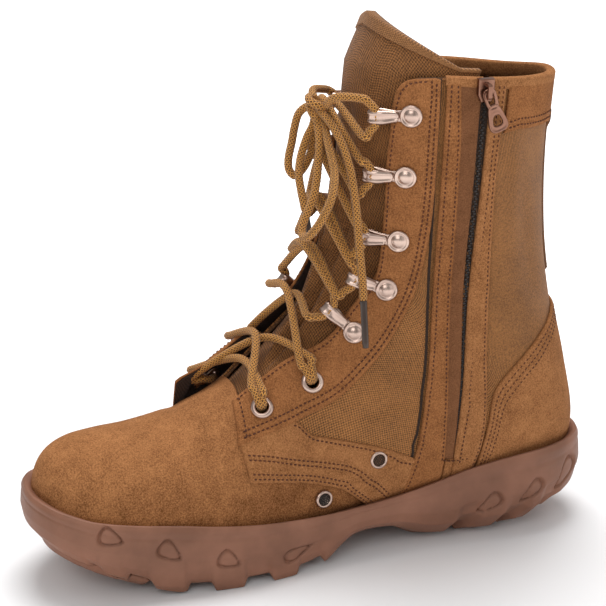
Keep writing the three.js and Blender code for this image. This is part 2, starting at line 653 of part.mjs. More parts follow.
function tonguePoint(t, v, depth) {
  const end = COLLAR + 1;
  const s = lerp(TONGUE.from, end, t);
  const reach = tongueReach(Math.min(s, COLLAR));
  const turn = v < 0 ? v * reach.medial : v * reach.lateral;
  const angle = v < 0 ? -180 - turn : 180 - turn;
  const point = offsetSkin(Math.min(s, COLLAR), Math.abs(v) < 1e-6 ? 180 : angle, -depth);
  if (s <= COLLAR) return point;
  const higher = (s - COLLAR) * TONGUE.above * (1 - 0.86 * Math.min(1, Math.abs(turn) / 78) ** 1.45);
  const lean = new THREE.Vector3(0, -0.42, 1);
  return point.addScaledVector(lean, higher);
}

function tongueSolid() {
  const { steps, across } = TONGUE;
  const end = COLLAR + 1;
  const stops = range(steps + 1).map((i) => (i / steps) * ((COLLAR - TONGUE.from) / (end - TONGUE.from)));
  const all = [...stops, (stops[steps] + 1) / 2, 1];
  const rings = all.map((t) => {
    const face = (depth) => range(across + 1).map((j) => tonguePoint(t, (2 * j) / across - 1, depth));
    return [...face(TONGUE_DEPTH), ...face(TONGUE_DEPTH + TONGUE_THICK).reverse()];
  });
  return solid(stripLoft(rings, across + 1));
}

// A loft whose rings are an outer row and an inner row of points, with its ends closed by strips.
function stripLoft(rings, half) {
  const n = 2 * half;
  const faces = [];
  range(rings.length - 1).forEach((i) => range(n).forEach((j) => {
    const k = (j + 1) % n;
    faces.push(i * n + j, i * n + k, (i + 1) * n + k, i * n + j, (i + 1) * n + k, (i + 1) * n + j);
  }));
  [0, rings.length - 1].forEach((i) => range(half - 1).forEach((j) => {
    const [a, b, c, d] = [i * n + j, i * n + j + 1, i * n + n - 2 - j, i * n + n - 1 - j];
    faces.push(...(i ? [a, b, c, a, c, d] : [a, c, b, a, d, c]));
  }));
  return geometry(rings.flat(), faces);
}

// ---------------------------------------------------------------- putting it together
const throat = throatCutter();
const bothSides = [["medial", MEDIAL], ["lateral", LATERAL]];

// A piece's place on a facing, which for the outer facing follows and leans with its flare.
function seatOn(sign, [ring, angle], height, drop) {
  const matrix = seat(ring, sign * angle, height, drop);
  if (sign === MEDIAL) return matrix;
  const at = (u, v) => flared(new THREE.Vector3(u, v, 0).applyMatrix4(matrix));
  const towards = at(1, 0).sub(at(0, 0)).normalize();
  const outward = new THREE.Vector3().crossVectors(towards, at(0, 1).sub(at(0, 0))).normalize();
  const across = new THREE.Vector3().crossVectors(outward, towards);
  return new THREE.Matrix4().makeBasis(towards, across, outward).setPosition(at(0, 0));
}

// The holes that the eyelets and the laces pass through.
const eyeletHoles = EYELETS.flatMap((row) => bothSides.map(([side, sign]) => {
  const through = disc(EYELET.hole + EYELET.wall + 0.3, 14, 16).translate([0, 0, -9]);
  return place(through, seatOn(sign, row[side], FACING_TOP + GAP, 0));
}));
const cutHoles = (made) => eyeletHoles.reduce((all, hole) => all.subtract(hole), made);

function flare(made) {
  return made.warp((p) => {
    const { x, y, z } = flared(new THREE.Vector3(p[0], p[1], p[2]));
    [p[0], p[1], p[2]] = [x, y, z];
  });
}

function facing(side) {
  const cutter = side === MEDIAL ? sidePrism(FACING_OUTLINE, -90, 0) : sidePrism(FACING_OUTLINE, 0, 90);
  const flat = panel(FACING_THICK, cutter).subtract(throat);
  return cutHoles(side === MEDIAL ? flat : flare(flat));
}

const facings = { medial: facing(MEDIAL), lateral: facing(LATERAL) };
const shell = cutHoles(upper);

// A piece set on a facing or on the upper, raised in small steps until it clears it.
function rest(made, placed, under) {
  let lift = 0;
  while (lift < 3 && place(made, placed(lift)).intersect(under).volume() > 1e-4) lift += 0.1;
  return place(made, placed(lift + 0.1));
}
const onFacing = (made, row, side, sign) => rest(
  made, (lift) => seatOn(sign, row[side], FACING_TOP + GAP + lift, row.drop ?? 0), facings[side],
);
const onUpper = (made, [ring, angle]) => rest(made, (lift) => seat(ring, angle, GAP + lift, 0), shell);

const STRAP_BOX = box(2 * STRAP.halfWidth, 60, STRAP.to - STRAP.from, 0, -130, (STRAP.to + STRAP.from) / 2);
const bump = box(2 * STRAP.halfWidth, 60, 2 * PULL_TAB_BUMP.half, 0, -130, PULL_TAB_BUMP.at);
const strap = panel(STRAP.thick, STRAP_BOX).add(panel(PULL_TAB_BUMP.thick, bump));

// An aglet on the end of the inner lace end.
function agletSolid() {
  const [before, end] = END_MEDIAL.slice(-2).map(([x, y, z]) => new THREE.Vector3(x, y, z));
  const along = end.clone().sub(before).normalize();
  const made = new THREE.CylinderGeometry(AGLET.radius, AGLET.radius, AGLET.length, 10);
  const middle = end.clone().addScaledVector(along, GAP + AGLET.length / 2);
  const turn = new THREE.Quaternion().setFromUnitVectors(up, along);
  return solid(made.rotateX(Math.PI / 2).applyQuaternion(turn).translate(middle.x, middle.y, middle.z));
}

const cordThrough = (rows, steps) => cord(rows.map(([x, y, z]) => new THREE.Vector3(x, y, z)), steps);

const LOOKS = {
  suede: { color: 0x94602f, roughness: 0.95, metalness: 0 },
  cordura: { color: 0x8a5f33, roughness: 0.9, metalness: 0 },
  rubber: { color: 0x7c4c3a, roughness: 0.75, metalness: 0 },
  foam: { color: 0x4a3a2c, roughness: 0.95, metalness: 0 },
  webbing: { color: 0x7a5430, roughness: 0.9, metalness: 0 },
  nickel: { color: 0xc0a08c, roughness: 0.3, metalness: 1 },
  zip: { color: 0x3a2a20, roughness: 0.6, metalness: 0 },
  lace: { color: 0xa06e3a, roughness: 0.85, metalness: 0 },
  plastic: { color: 0x2c2420, roughness: 0.35, metalness: 0 },
};

const nodes = [
  ["outsole", "rubber", outsole],
  ["insole", "foam", insole],
  ["upper", "cordura", shell],
  ["tongue", "cordura", tongueSolid()],
  ["facing_medial", "suede", facings.medial],
  ["facing_lateral", "suede", facings.lateral],
  ["heel_counter", "suede", panel(COUNTER_THICK, sidePrism(COUNTER_OUTLINE, -90, 90))],
  ["back_strap", "webbing", strap],
  ["zip_teeth", "zip", panel(ZIP_THICK, sidePrism(stripOutline(ZIP_LINE, ZIP_HALF_WIDTH), -90, 0))],
  ["zip_slider", "nickel", place(sliderSolid(), sliderSeat())],
  ["zip_pull", "nickel", place(pullSolid(), pullSeat())],
  ...EYELETS.flatMap((row) => bothSides.map(([side, sign]) => [
    `eyelet_${side}_${row.name}`, "nickel", onFacing(eyelet(), row, side, sign),
  ])),
  ...HOOKS.flatMap((row) => bothSides.map(([side, sign]) => [
    `hook_${side}_${row.name}`, "nickel", onFacing(hook(), row, side, sign),
  ])),
  ...VENTS.map(({ name, at }) => [`vent_${name}`, "nickel", onUpper(vent(), at)]),
  ["lace_crossings", "lace", crossings()],
  ["lace_knot", "lace", knotSolid()],
  ["lace_loop_front", "lace", cordThrough(LOOP_FRONT, 22)],
  ["lace_loop_back", "lace", cordThrough(LOOP_BACK, 14)],
  ["lace_end_medial", "lace", cordThrough(END_MEDIAL, 14)],
  ["lace_end_lateral", "lace", cordThrough(END_LATERAL, 8)],
  ["lace_aglet", "plastic", agletSolid()],
];

// The whole is moved so that the origin lies under the middle of its bounding box.
const cordNodes = /^lace_(knot|loop|end|aglet)/;
const bounds = nodes.filter(([name]) => !cordNodes.test(name)).map(([, , made]) => made.boundingBox());
const lowest = (axis) => Math.min(...bounds.map((b) => b.min[axis]));
const highest = (axis) => Math.max(...bounds.map((b) => b.max[axis]));
const middleOf = (axis) => (lowest(axis) + highest(axis)) / 2;
const centring = [-middleOf(0), -middleOf(1), 0];

const boot = new THREE.Group();
nodes.forEach(([name, look, made]) => {
  const material = new THREE.MeshStandardMaterial(LOOKS[look]);
  const mesh = new THREE.Mesh(geometryOf(made.translate(centring)), material);
  mesh.name = name;
  boot.add(mesh);
});

export default boot;
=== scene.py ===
import json
import math

import bpy
import numpy as np
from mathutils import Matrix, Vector


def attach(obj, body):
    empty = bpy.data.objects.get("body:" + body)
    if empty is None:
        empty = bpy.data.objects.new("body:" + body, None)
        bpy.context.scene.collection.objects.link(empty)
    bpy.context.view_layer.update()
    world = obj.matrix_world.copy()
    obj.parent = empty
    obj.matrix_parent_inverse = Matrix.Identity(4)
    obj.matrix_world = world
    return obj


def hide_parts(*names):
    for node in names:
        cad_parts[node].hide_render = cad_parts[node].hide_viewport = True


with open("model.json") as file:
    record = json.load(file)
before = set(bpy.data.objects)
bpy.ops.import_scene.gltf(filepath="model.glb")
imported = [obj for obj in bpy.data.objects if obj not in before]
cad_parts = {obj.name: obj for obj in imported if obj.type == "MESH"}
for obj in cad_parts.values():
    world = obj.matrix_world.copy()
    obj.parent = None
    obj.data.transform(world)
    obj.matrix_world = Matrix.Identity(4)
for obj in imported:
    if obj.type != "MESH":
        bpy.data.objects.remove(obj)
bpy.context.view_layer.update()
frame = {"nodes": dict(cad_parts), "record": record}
CLOTH_SLOT = next(part["material_slot"] for part in frame["record"]["subparts"]
                  if part["node"] == "upper")

# ---------------- sizes, in millimetres
MM = 0.001
CENTRE = np.array([-0.9165, -1.5, 0.0])  # from the last's own origin to the boot's
MEDIAL, LATERAL = -1, 1
SIDES = {"medial": MEDIAL, "lateral": LATERAL}
COLLAR = 20.0  # the last's top ring
WALL = 2.2
FACING = 2.1  # the facings' outer face above the skin
LACE = 4.0
BRAID_PITCH = 1.9
STITCH_PITCH, STITCH_LENGTH = 2.35, 1.75
EDGE = [0, 0.12, 0.35, 0.8, 1.4, 2.0, 2.6, 3.2]  # a panel's close rows, from its edge

LAST = np.array([
    # back y, back z, front y, front z, medial, lateral, widest, under, crown, centre
    [146.5, 37, 146.5, 43, 0.6, 0.6, 0.5, 2.0, 2.0, -8],
    [144, 25, 143.5, 58, 13, 13, 0.42, 2.4, 2.0, -8],
    [138, 18, 137, 66.5, 25, 24, 0.35, 3.0, 2.1, -7],
    [128, 16, 126, 70.5, 35, 33, 0.32, 3.4, 2.2, -5],
    [114, 15, 111, 71.5, 41, 39, 0.3, 3.6, 2.2, -3],
    [96, 14, 92, 72, 45, 43, 0.28, 3.6, 2.15, -1],
    [74, 13, 70, 76.5, 46, 46, 0.26, 3.6, 2.0, 0],
    [52, 13, 48, 86, 45, 48, 0.24, 3.6, 1.95, 0],
    [28, 14, 34, 99, 41, 49, 0.22, 3.6, 1.95, 0],
    [4, 16, 23, 111, 36, 47, 0.22, 3.6, 1.95, 0],
    [-22, 18, 13, 123, 33, 44, 0.24, 3.4, 2.0, 0],
    [-50, 20, 6, 134, 32, 40, 0.28, 3.2, 2.0, 0],
    [-82, 21, 1, 147, 33, 38, 0.34, 3.0, 2.1, 0],
    [-114, 22, -3, 162, 34, 37, 0.4, 2.7, 2.2, 0],
    [-134.5, 30, -6, 177, 35, 36, 0.44, 2.4, 2.1, 0],
    [-141, 52, -8, 191, 36, 37, 0.46, 2.2, 2.1, 0],
    [-135, 85, -9.5, 204, 37.5, 38.5, 0.47, 2.1, 2.05, 0],
    [-127, 118, -10.5, 216, 39, 40, 0.48, 2.1, 2, 0],
    [-121, 155, -12, 228, 40.5, 41.5, 0.48, 2.1, 2, 0],
    [-119.5, 197, -13, 238, 42, 42, 0.48, 2.1, 2, 0],
    [-122, 239, -14, 247, 43, 42.5, 0.48, 2.1, 2, 0],
])
THROAT = np.array([
    # ring, and how far the medial and the lateral facing's edge stand from the centre line
    [7.2, 14.5, 14.5], [8.25, 16.2, 16], [9.2, 16.8, 17], [10.5, 19.5, 18], [12.2, 21.8, 18],
    [13.3, 24.4, 18], [14.7, 25, 17.5], [17, 27.6, 20], [19, 30.4, 29], [19.4, 31.2, 31.6],
    [19.6, 32.2, 33], [19.8, 34, 35.6], [19.92, 36.4, 37.6], [20, 39.4, 39],
])
SOLE = np.array([
    # y, medial, lateral, centre, tread, rim, tuck
    [151, 46, 44, -8, 27, 50, 1], [140, 46.5, 44.5, -7, 22, 47, 0.9],
    [125, 47.5, 45.5, -5, 15, 43, 0.8], [105, 49, 47.5, -2, 7.5, 40, 0.6],
    [85, 50.5, 50, 0, 1.5, 37.5, 0.5], [65, 51, 52, 0, 0, 34.5, 0.4], [45, 50, 53, 0, 0, 32, 0.3],
    [25, 46.5, 53.5, 0, 0, 30, 0.3], [5, 42, 52, 0, 3, 28.5, 0.4],
    [-12, 38.5, 49, 0, 12, 28.5, 0.9], [-35, 36, 46, 0, 11, 30.5, 1.2],
    [-55, 36, 43.5, 0, 2, 35, 1.9], [-75, 36.5, 41.5, 0, 0, 40.5, 1.9],
    [-100, 37.5, 41, 0, 0, 45, 1.9], [-122, 37.5, 40, 0, 3, 46.5, 1.9],
    [-138, 37, 39, 0, 9, 46.5, 1.9], [-148, 37, 39, 0, 15, 46.5, 1.9],
])
CHANNELS = np.array([
    # from y, to y, depth
    [128, 123, 3], [110, 99, 4], [79, 68, 4.5], [49, 37, 4.5], [20, 8, 4],
    [-71, -78, 5.5], [-98, -105, 5.5], [-118, -124, 5],
])
HOLDERS = [
    # name, ring, medial angle, lateral angle, drop
    ("eyelet_{}_a", 7.93, 141.5, 141.5, 0), ("eyelet_{}_b", 9.7, 132.7, 139, 0),
    ("hook_{}_a", 11.75, 132.8, 137, 13), ("hook_{}_b", 13.45, 128.6, 136, 29),
    ("hook_{}_c", 15.05, 128, 136, 37), ("hook_{}_d", 17.15, 124.8, 133, 34),
    ("hook_{}_e", 18.9, 123.5, 122, 22),
]
VENTS = [("a", 10.58, -92.6), ("b", 9.09, -89.5)]
KNOT = np.array([-1.0, -2.0, 224.5])
LOOP_FRONT = [
    [-5, -1, 224], [-9.5, 0.5, 220], [-13, 1, 215.5], [-15.5, 1.5, 210], [-18, 3, 202.5],
    [-20.5, 4.5, 195.5], [-22.5, 6.5, 188.5], [-24, 9.5, 182], [-25.5, 13, 175.5], [-29, 14.5, 171],
    [-34.5, 13.5, 171.5], [-39, 11, 176.5], [-40.5, 7.5, 183], [-39, 3.5, 190], [-35.5, 1, 195],
    [-30.5, -1, 200], [-25.5, -1.5, 205.5], [-20, -1.5, 211.5], [-15, -2, 216], [-10, -2, 220.5],
    [-5, -2, 224],
]
LOOP_BACK = [
    [-0.5, -1.5, 225], [3.5, 1.5, 225.5], [6.5, 5, 221.5], [7, 7, 214.5], [6.5, 8.5, 207.5],
    [5.5, 10.5, 200], [4.5, 10.5, 194.5], [4, 7.5, 191.5], [4.5, 3, 195], [4.5, -0.5, 202],
    [4, -1.5, 209.5], [2.5, -2.5, 216.5], [0.5, -2.5, 222.5],
]
END_MEDIAL = [
    [-2, -1.5, 225], [-9, -1.5, 225], [-17, -4, 220.5], [-24.5, -6.5, 213], [-30, -8.5, 203],
    [-33.5, -9.5, 193], [-35.5, -10.5, 181], [-36.5, -11.5, 166], [-38.5, -12.5, 150],
    [-41, -12.5, 137],
]
END_LATERAL = [
    [-1.5, -1, 225], [-1, 0, 217.5], [-1.5, 3.5, 211], [-3, 7, 202], [-6.5, 9, 194.5],
    [-10, 9, 187.5], [-13, 8.5, 181], [-14.5, 8, 176],
]


# ---------------- reading the tables
def read_rows(table, at):
    """The row of a table at each place, along a Catmull-Rom curve through its rows."""
    table = np.asarray(table, float)
    last = len(table) - 1
    at = np.clip(np.asarray(at, float), 0, last)
    i = np.minimum(at.astype(int), last - 1)
    t = (at - i)[..., None]
    before, start, end, after = (table[np.clip(i + k, 0, last)] for k in (-1, 0, 1, 2))
    into, out = (end - before) / 2, (after - start) / 2
    cubic = 2 * start - 2 * end + into + out
    square = -3 * start + 3 * end - 2 * into - out
    return ((cubic * t + square) * t + into) * t + start


def look_up(table, value):
    """The row of a table where its first column has each value."""
    first = table[:, 0] * np.sign(table[-1, 0] - table[0, 0])
    value = np.asarray(value, float) * np.sign(table[-1, 0] - table[0, 0])
    return read_rows(table, np.interp(value, first, np.arange(len(table))))


def smooth(t):
    """0 below 0, 1 above 1, and an S between them."""
    t = np.clip(t, 0, 1)
    return t * t * (3 - 2 * t)


def unit(v):
    """Vectors brought to length 1."""
    return v / np.maximum(np.linalg.norm(v, axis=-1, keepdims=True), 1e-9)


def travelled(points, axis=0):
    """The distance gone along one axis of a line or grid of points."""
    steps = np.linalg.norm(np.diff(points, axis=axis), axis=-1)
    return np.insert(np.cumsum(steps, axis), 0, 0.0, axis)


def sampled(at, gone, rows):
    """Rows read at some distances, when each lies at its own distance."""
    return np.stack([np.interp(at, gone, column) for column in rows.T], -1)


# ---------------- the last
def skin(s, a):
    """The last's surface: ring s of 20, toe to collar, and angle a round it, 0 under or behind and
    180 in front, negative on the inner side. A ring is a superellipse on its slanting line."""
    s, a = np.broadcast_arrays(np.asarray(s, float), np.asarray(a, float))
    back_y, back_z, front_y, front_z, medial, lateral, widest, under, crown, centre = np.moveaxis(
        read_rows(LAST, s), -1, 0)
    side = np.where(a < 0, MEDIAL, LATERAL)
    half = np.where(a < 0, medial, lateral)
    turn = np.radians(np.abs(a))
    up = -np.cos(turn)
    share = np.where(up < 0, widest * (1 - np.abs(up) ** (2 / under)),
                     widest + (1 - widest) * np.abs(up) ** (2 / crown))
    return np.stack([centre + side * half * np.sin(turn), back_y + (front_y - back_y) * share,
                     back_z + (front_z - back_z) * share], -1)


def outward(s, a):
    """The last's unit normal, from the steps along and round it."""
    s, a = np.broadcast_arrays(np.asarray(s, float), np.asarray(a, float))
    low = np.clip(s - 0.02, 0.001, COLLAR - 0.02)
    along = skin(low + 0.02, a) - skin(low, a)
    round_it = skin(s, a + 1) - skin(s, a - 1)
    return unit(np.cross(round_it, along))


def on_last(s, a, height):
    """The point a height outside the skin."""
    return skin(s, a) + outward(s, a) * np.asarray(height, float)[..., None]


def ring_at(y, z, side):
    """Ring and angle of the skin's point at y and z on one side, by halving between the rings."""
    y, z = np.asarray(y, float), np.asarray(z, float)
    low, high = np.zeros_like(y), np.full_like(y, COLLAR)
    for _ in range(40):
        middle = (low + high) / 2
        row = read_rows(LAST, middle)
        dy, dz = row[..., 2] - row[..., 0], row[..., 3] - row[..., 1]
        ahead = dy * (z - row[..., 1]) - dz * (y - row[..., 0]) < 0
        low, high = np.where(ahead, low, middle), np.where(ahead, middle, high)
    share = np.clip(((y - row[..., 0]) * dy + (z - row[..., 1]) * dz) / (dy * dy + dz * dz), 0, 1)
    widest, under, crown = row[..., 6], row[..., 7], row[..., 8]
    up = np.where(share < widest, -np.abs(1 - share / widest) ** (under / 2),
                  np.abs((share - widest) / (1 - widest)) ** (crown / 2))
    return np.stack([middle, side * np.degrees(np.arccos(-np.clip(up, -1, 1)))], -1)


def throat_angle(s, side, inset=0.0):
    """The angle of a facing's edge on ring s, or of a line `inset` outside it."""
    edge = look_up(THROAT, np.maximum(s, 7.2))
    row = read_rows(LAST, s)
    across = edge[..., 1 if side == MEDIAL else 2] + inset
    half = row[..., 4 if side == MEDIAL else 5]
    return side * (180 - np.degrees(np.arcsin(np.clip(across / half, 0, 0.999))))


def unbent(p):
    """Leaves a piece as it is."""
    return p


def flared(p):
    """How the outer facing leans open: its throat edge is pulled forwards, most at its front corner
    and less and less up the leg."""
    pull = (smooth((40 - p[..., 0]) / 16) * smooth((192 - p[..., 2]) / 40)
            * np.exp(-np.maximum(p[..., 2] - 88, 0) / 32))
    front = pull * smooth((p[..., 1] - 30) / 16)
    hang = smooth((p[..., 0] - 15) / 7)
    shift = np.stack([0 * pull, 21 * pull, 3 * front - 2 * pull - 15 * front * hang], -1)
    return settled(p + shift)


def settled(p):
    """How the collar has sunk on its outer side."""
    sunk = smooth((p[..., 0] + 8) / 44) * smooth((p[..., 2] - 195) / 45)
    return p - sunk[..., None] * np.array([0, 0, 4.5])


def along(points, steps, fine=40):
    """A Catmull-Rom curve through points of any kind, at even distances on the last if they are
    rings and angles, or in space."""
    points = np.asarray(points, float)
    dense = read_rows(points, np.linspace(0, len(points) - 1, fine * len(points)))
    place = skin(dense[:, 0], dense[:, 1]) if points.shape[1] == 2 else dense
    gone = travelled(place)
    return sampled(np.linspace(0, gone[-1], steps), gone, dense)


def side_line(points, side, steps):
    """The same for a line drawn in the side view, as y and z."""
    points = np.asarray(points, float)
    line = read_rows(points, np.linspace(0, len(points) - 1, 16 * len(points)))
    return along(ring_at(line[:, 0], line[:, 1], side), steps, fine=4)


def mirrored(line):
    """A line of rings and angles on the boot's other side."""
    return line * np.array([1, -1])


# ---------------- soft creases and puckers
CREASES = [
    # x side, y, z, along y, along z, half length, half width, depth
    (-1, 62, 66, 0.35, 1, 16, 3.2, -0.9), (-1, 70, 58, 0.2, 1, 20, 4.5, -0.7),
    (-1, 84, 60, 0.3, 1, 16, 4.0, 0.5), (1, 66, 62, 0.3, 1, 20, 4.0, -1.0),
    (-1, -30, 78, 1, -0.35, 20, 4, -1.1), (-1, -20, 70, 1, -0.3, 20, 4, 0.9),
    (-1, -42, 96, 0.35, 1, 15, 3.2, -1.0), (-1, -34, 88, 0.8, 0.6, 12, 3.5, 0.8),
    (-1, -95, 120, 0.8, 0.6, 20, 4.5, -1.0), (-1, -92, 134, 0.9, 0.45, 18, 5, 0.9),
    (-1, -100, 160, 0.2, 1, 30, 6, -1.0), (-1, -92, 190, 0.1, 1, 26, 5, 0.8),
    (-1, -106, 200, 0.2, 1, 24, 6, -0.7), (1, -30, 84, 1, -0.3, 24, 4, -1.1),
    (1, -60, 120, 0.9, -0.4, 30, 5, -1.2), (1, -75, 138, 0.9, -0.3, 30, 5, 0.9),
    (1, -70, 175, 0.95, -0.2, 30, 6, -0.8),
]


def creased(p):
    """How far the skin rises or sinks at each point: the sum of soft ridges and troughs, each a
    bell across its own line and fading out along it."""
    rise = np.zeros(p.shape[:-1])
    for side, y, z, dy, dz, length, width, depth in CREASES:
        size = math.hypot(dy, dz)
        dy, dz = dy / size, dz / size
        off_y, off_z = p[..., 1] - y, p[..., 2] - z
        gone, away = off_y * dy + off_z * dz, off_y * dz - off_z * dy
        rise += (depth * np.exp(-((away / width) ** 2) - (gone / length) ** 4)
                 * smooth(p[..., 0] * side / 12))
    return rise


def dressed(s, a, height):
    """A point on the upper with its creases."""
    at = on_last(s, a, height)
    return settled(at + outward(s, a) * creased(at)[..., None])


# ---------------- making meshes
PANELS = {}
STITCHES = {word: [] for word in SIDES}


def quads_of(rows, columns, wrap=False):
    """The four corners of each cell of a grid, whose columns may close on themselves."""
    i, j = np.meshgrid(np.arange(rows - 1), np.arange(columns if wrap else columns - 1),
                       indexing="ij")
    i, j = i.ravel(), j.ravel()
    k = (j + 1) % columns
    return np.stack([i * columns + j, i * columns + k, (i + 1) * columns + k,
                     (i + 1) * columns + j], 1)


def make(name, points, quads, material, uv=None, caps=(), body="boot", smooth_faces=True,
         stands_for=()):
    """A mesh piece in metres, turned so that its faces point outwards by the sign of its volume."""
    caps = [np.ravel(cap) for cap in caps]
    used = np.unique(np.concatenate([quads.ravel(), *caps]))
    quads, caps = np.searchsorted(used, quads), [np.searchsorted(used, cap) for cap in caps]
    points = ((np.asarray(points, float).reshape(-1, 3) + CENTRE) * MM)[used]
    a, b, c, d = (points[quads[:, k]] for k in range(4))
    volume = (a * (np.cross(b, c) + np.cross(c, d))).sum()
    for ring in (points[cap] for cap in caps):
        volume += (np.cross(ring[1:-1], ring[2:]) @ ring[0]).sum()
    if volume < 0:
        quads, caps = quads[:, ::-1], [cap[::-1] for cap in caps]
    mesh = bpy.data.meshes.new(name)
    mesh.from_pydata(points.tolist(), [], quads.tolist() + [cap.tolist() for cap in caps])
    mesh.polygons.foreach_set("use_smooth", [smooth_faces] * len(mesh.polygons))
    if uv is not None:
        corner = np.zeros(len(mesh.loops), int)
        mesh.loops.foreach_get("vertex_index", corner)
        uv = np.asarray(uv, float).reshape(-1, 2)[used][corner]
        mesh.uv_layers.new(name="cloth").data.foreach_set("uv", uv.ravel())
    mesh.update()
    mesh.materials.append(material)
    piece = bpy.data.objects.new(name, mesh)
    bpy.context.scene.collection.objects.link(piece)
    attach(piece, body)
    if stands_for:
        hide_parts(*stands_for)
    return piece


def sheet(name, outer, inner, material, uv=None, keep=None, wrap=False, stands_for=()):
    """A closed sheet from an outer and an inner grid: walls run round every open edge of the cells
    that are kept."""
    quads = quads_of(*outer.shape[:2], wrap)
    if keep is not None:
        quads = quads[keep.ravel()]
    count = outer.shape[0] * outer.shape[1]
    starts, ends = quads.ravel(), np.roll(quads, -1, axis=1).ravel()
    open_edge = ~np.isin(starts * count + ends, ends * count + starts)
    starts, ends = starts[open_edge], ends[open_edge]
    walls = np.stack([ends, starts, starts + count, ends + count], 1)
    if uv is not None:
        uv = np.concatenate([uv.reshape(-1, 2)] * 2)
    return make(name, np.concatenate([outer.reshape(-1, 3), inner.reshape(-1, 3)]),
                np.concatenate([quads, quads[:, ::-1] + count, walls]), material, uv=uv,
                stands_for=stands_for)


def clear_of(grid, seats, radius):
    """Which cells of a grid stand clear of the holes of a radius at some seats."""
    centre = (grid[:-1, :-1] + grid[1:, :-1] + grid[:-1, 1:] + grid[1:, 1:]) / 4
    keep = np.ones(centre.shape[:2], bool)
    for origin, _, _, w in seats:
        off = centre - origin
        deep = off @ w
        off = off - deep[..., None] * w
        keep &= (np.linalg.norm(off, axis=-1) > radius) | (np.abs(deep) > 10)
    return keep


def edge_rows(width, near, step):
    """Shares across a panel: fixed distances from both edges, and even steps between them."""
    near = np.asarray(near, float)
    room = np.minimum(1.0, 0.46 * width / near[-1])
    left = near[None] * room[:, None] / width[:, None]
    right = 1 - left[:, ::-1]
    count = max(2, int(np.median(width) / step))
    t = (np.arange(1, count) / count)[None]
    return np.concatenate([left, left[:, -1:] + (right[:, :1] - left[:, -1:]) * t, right], 1)


def panel(name, edge_a, edge_b, thick, material, low=0.0, round_ends=(True, True), step=2.4,
          holes=(), bend=unbent, stands_for=(), swell=None, near=EDGE, troughs=()):
    """A closed panel on the last between two lines of rings and angles. Its edges roll down as a
    quarter circle of its own thickness, and troughs sink it along lines at set distances from the
    first edge."""
    width = np.linalg.norm(skin(*edge_a.T) - skin(*edge_b.T), axis=1)
    PANELS[name] = (edge_a, edge_b, width)
    across = edge_rows(np.maximum(width, 0.5), near, step)
    S, A = (edge_a[:, None, k] + (edge_b[:, None, k] - edge_a[:, None, k]) * across for k in (0, 1))
    base = skin(S, A)
    gone = travelled(base)
    from_a = across * width[:, None]
    away = np.minimum(from_a, (1 - across) * width[:, None])
    for rounded, from_end in zip(round_ends, (gone, gone[-1] - gone)):
        if rounded:
            away = np.minimum(away, from_end)
    roll = np.sqrt(1 - (1 - np.clip(away / thick, 0, 1)) ** 2)
    height = low + thick * (0.3 + 0.7 * roll)
    for distance, depth in troughs:
        height = height - depth * np.exp(-(((from_a - distance) / 0.55) ** 2))
    if swell is not None:
        height = height + swell(base)
    outer = dressed(S, A, height)
    keep = clear_of(outer, holes, 3.9) if len(holes) else None
    return sheet(name, bend(outer), bend(dressed(S, A, low)), material,
                 uv=np.stack([from_a, gone], -1), keep=keep, stands_for=stands_for)


def inset_line(name, distance, from_b=False, start=0, stop=None):
    """The line at a distance from one edge of a panel."""
    a, b, width = PANELS[name]
    share = (distance / np.maximum(width, 0.5))[:, None]
    share = 1 - share if from_b else share
    return (a + (b - a) * np.clip(share, 0.02, 0.98))[start:stop]


def stitch(line, height, side, bend=unbent):
    """Adds a row of stitches along a line of rings and angles: even places, directions, normals."""
    dense = along(line, 600, fine=8)
    place = bend(dressed(*dense.T, height))
    gone = travelled(place)
    count = max(2, int(gone[-1] / STITCH_PITCH))
    at = (np.arange(count) + 0.5) * gone[-1] / count
    ahead = sampled(at, gone, unit(np.gradient(place, axis=0)))
    STITCHES[side].append((sampled(at, gone, place), unit(ahead),
                           unit(sampled(at, gone, outward(*dense.T)))))


def stitches(side, material):
    """All the stitches of one side as one mesh: each a short five-sided rod whose ends dip."""
    stations = np.array([-0.5, -0.32, 0.0, 0.32, 0.5]) * STITCH_LENGTH
    thick = np.array([0.2, 0.38, 0.44, 0.38, 0.2])
    dip = np.array([-0.45, -0.05, 0.1, -0.05, -0.45])
    angle = np.arange(5) * 2 * np.pi / 5
    centre, ahead, normal = (np.concatenate(part) for part in zip(*STITCHES[side]))
    normal = unit(normal - (normal * ahead).sum(-1, keepdims=True) * ahead)
    across = np.cross(ahead, normal)
    spine = centre[:, None] + ahead[:, None] * stations[:, None] + normal[:, None] * dip[:, None]
    ring = (across[:, None, None] * np.cos(angle)[:, None]
            + normal[:, None, None] * np.sin(angle)[:, None])
    start = np.arange(len(centre))[:, None] * 25
    quads = (quads_of(5, 5, wrap=True) + start[..., None]).reshape(-1, 4)
    caps = list(start + np.arange(5)[::-1]) + list(start + 20 + np.arange(5))
    return make(f"stitches_{side}", spine[:, :, None] + ring * thick[:, None, None], quads,
                material, caps=caps)


def braid(turn, gone):
    """The braid's relief: two sets of seven strands wind round the cord in opposite ways."""
    one, two = (np.sin(2 * np.pi * gone / BRAID_PITCH + way * 7 * turn) for way in (1, -1))
    return 1 + 0.05 * np.maximum(one, two)


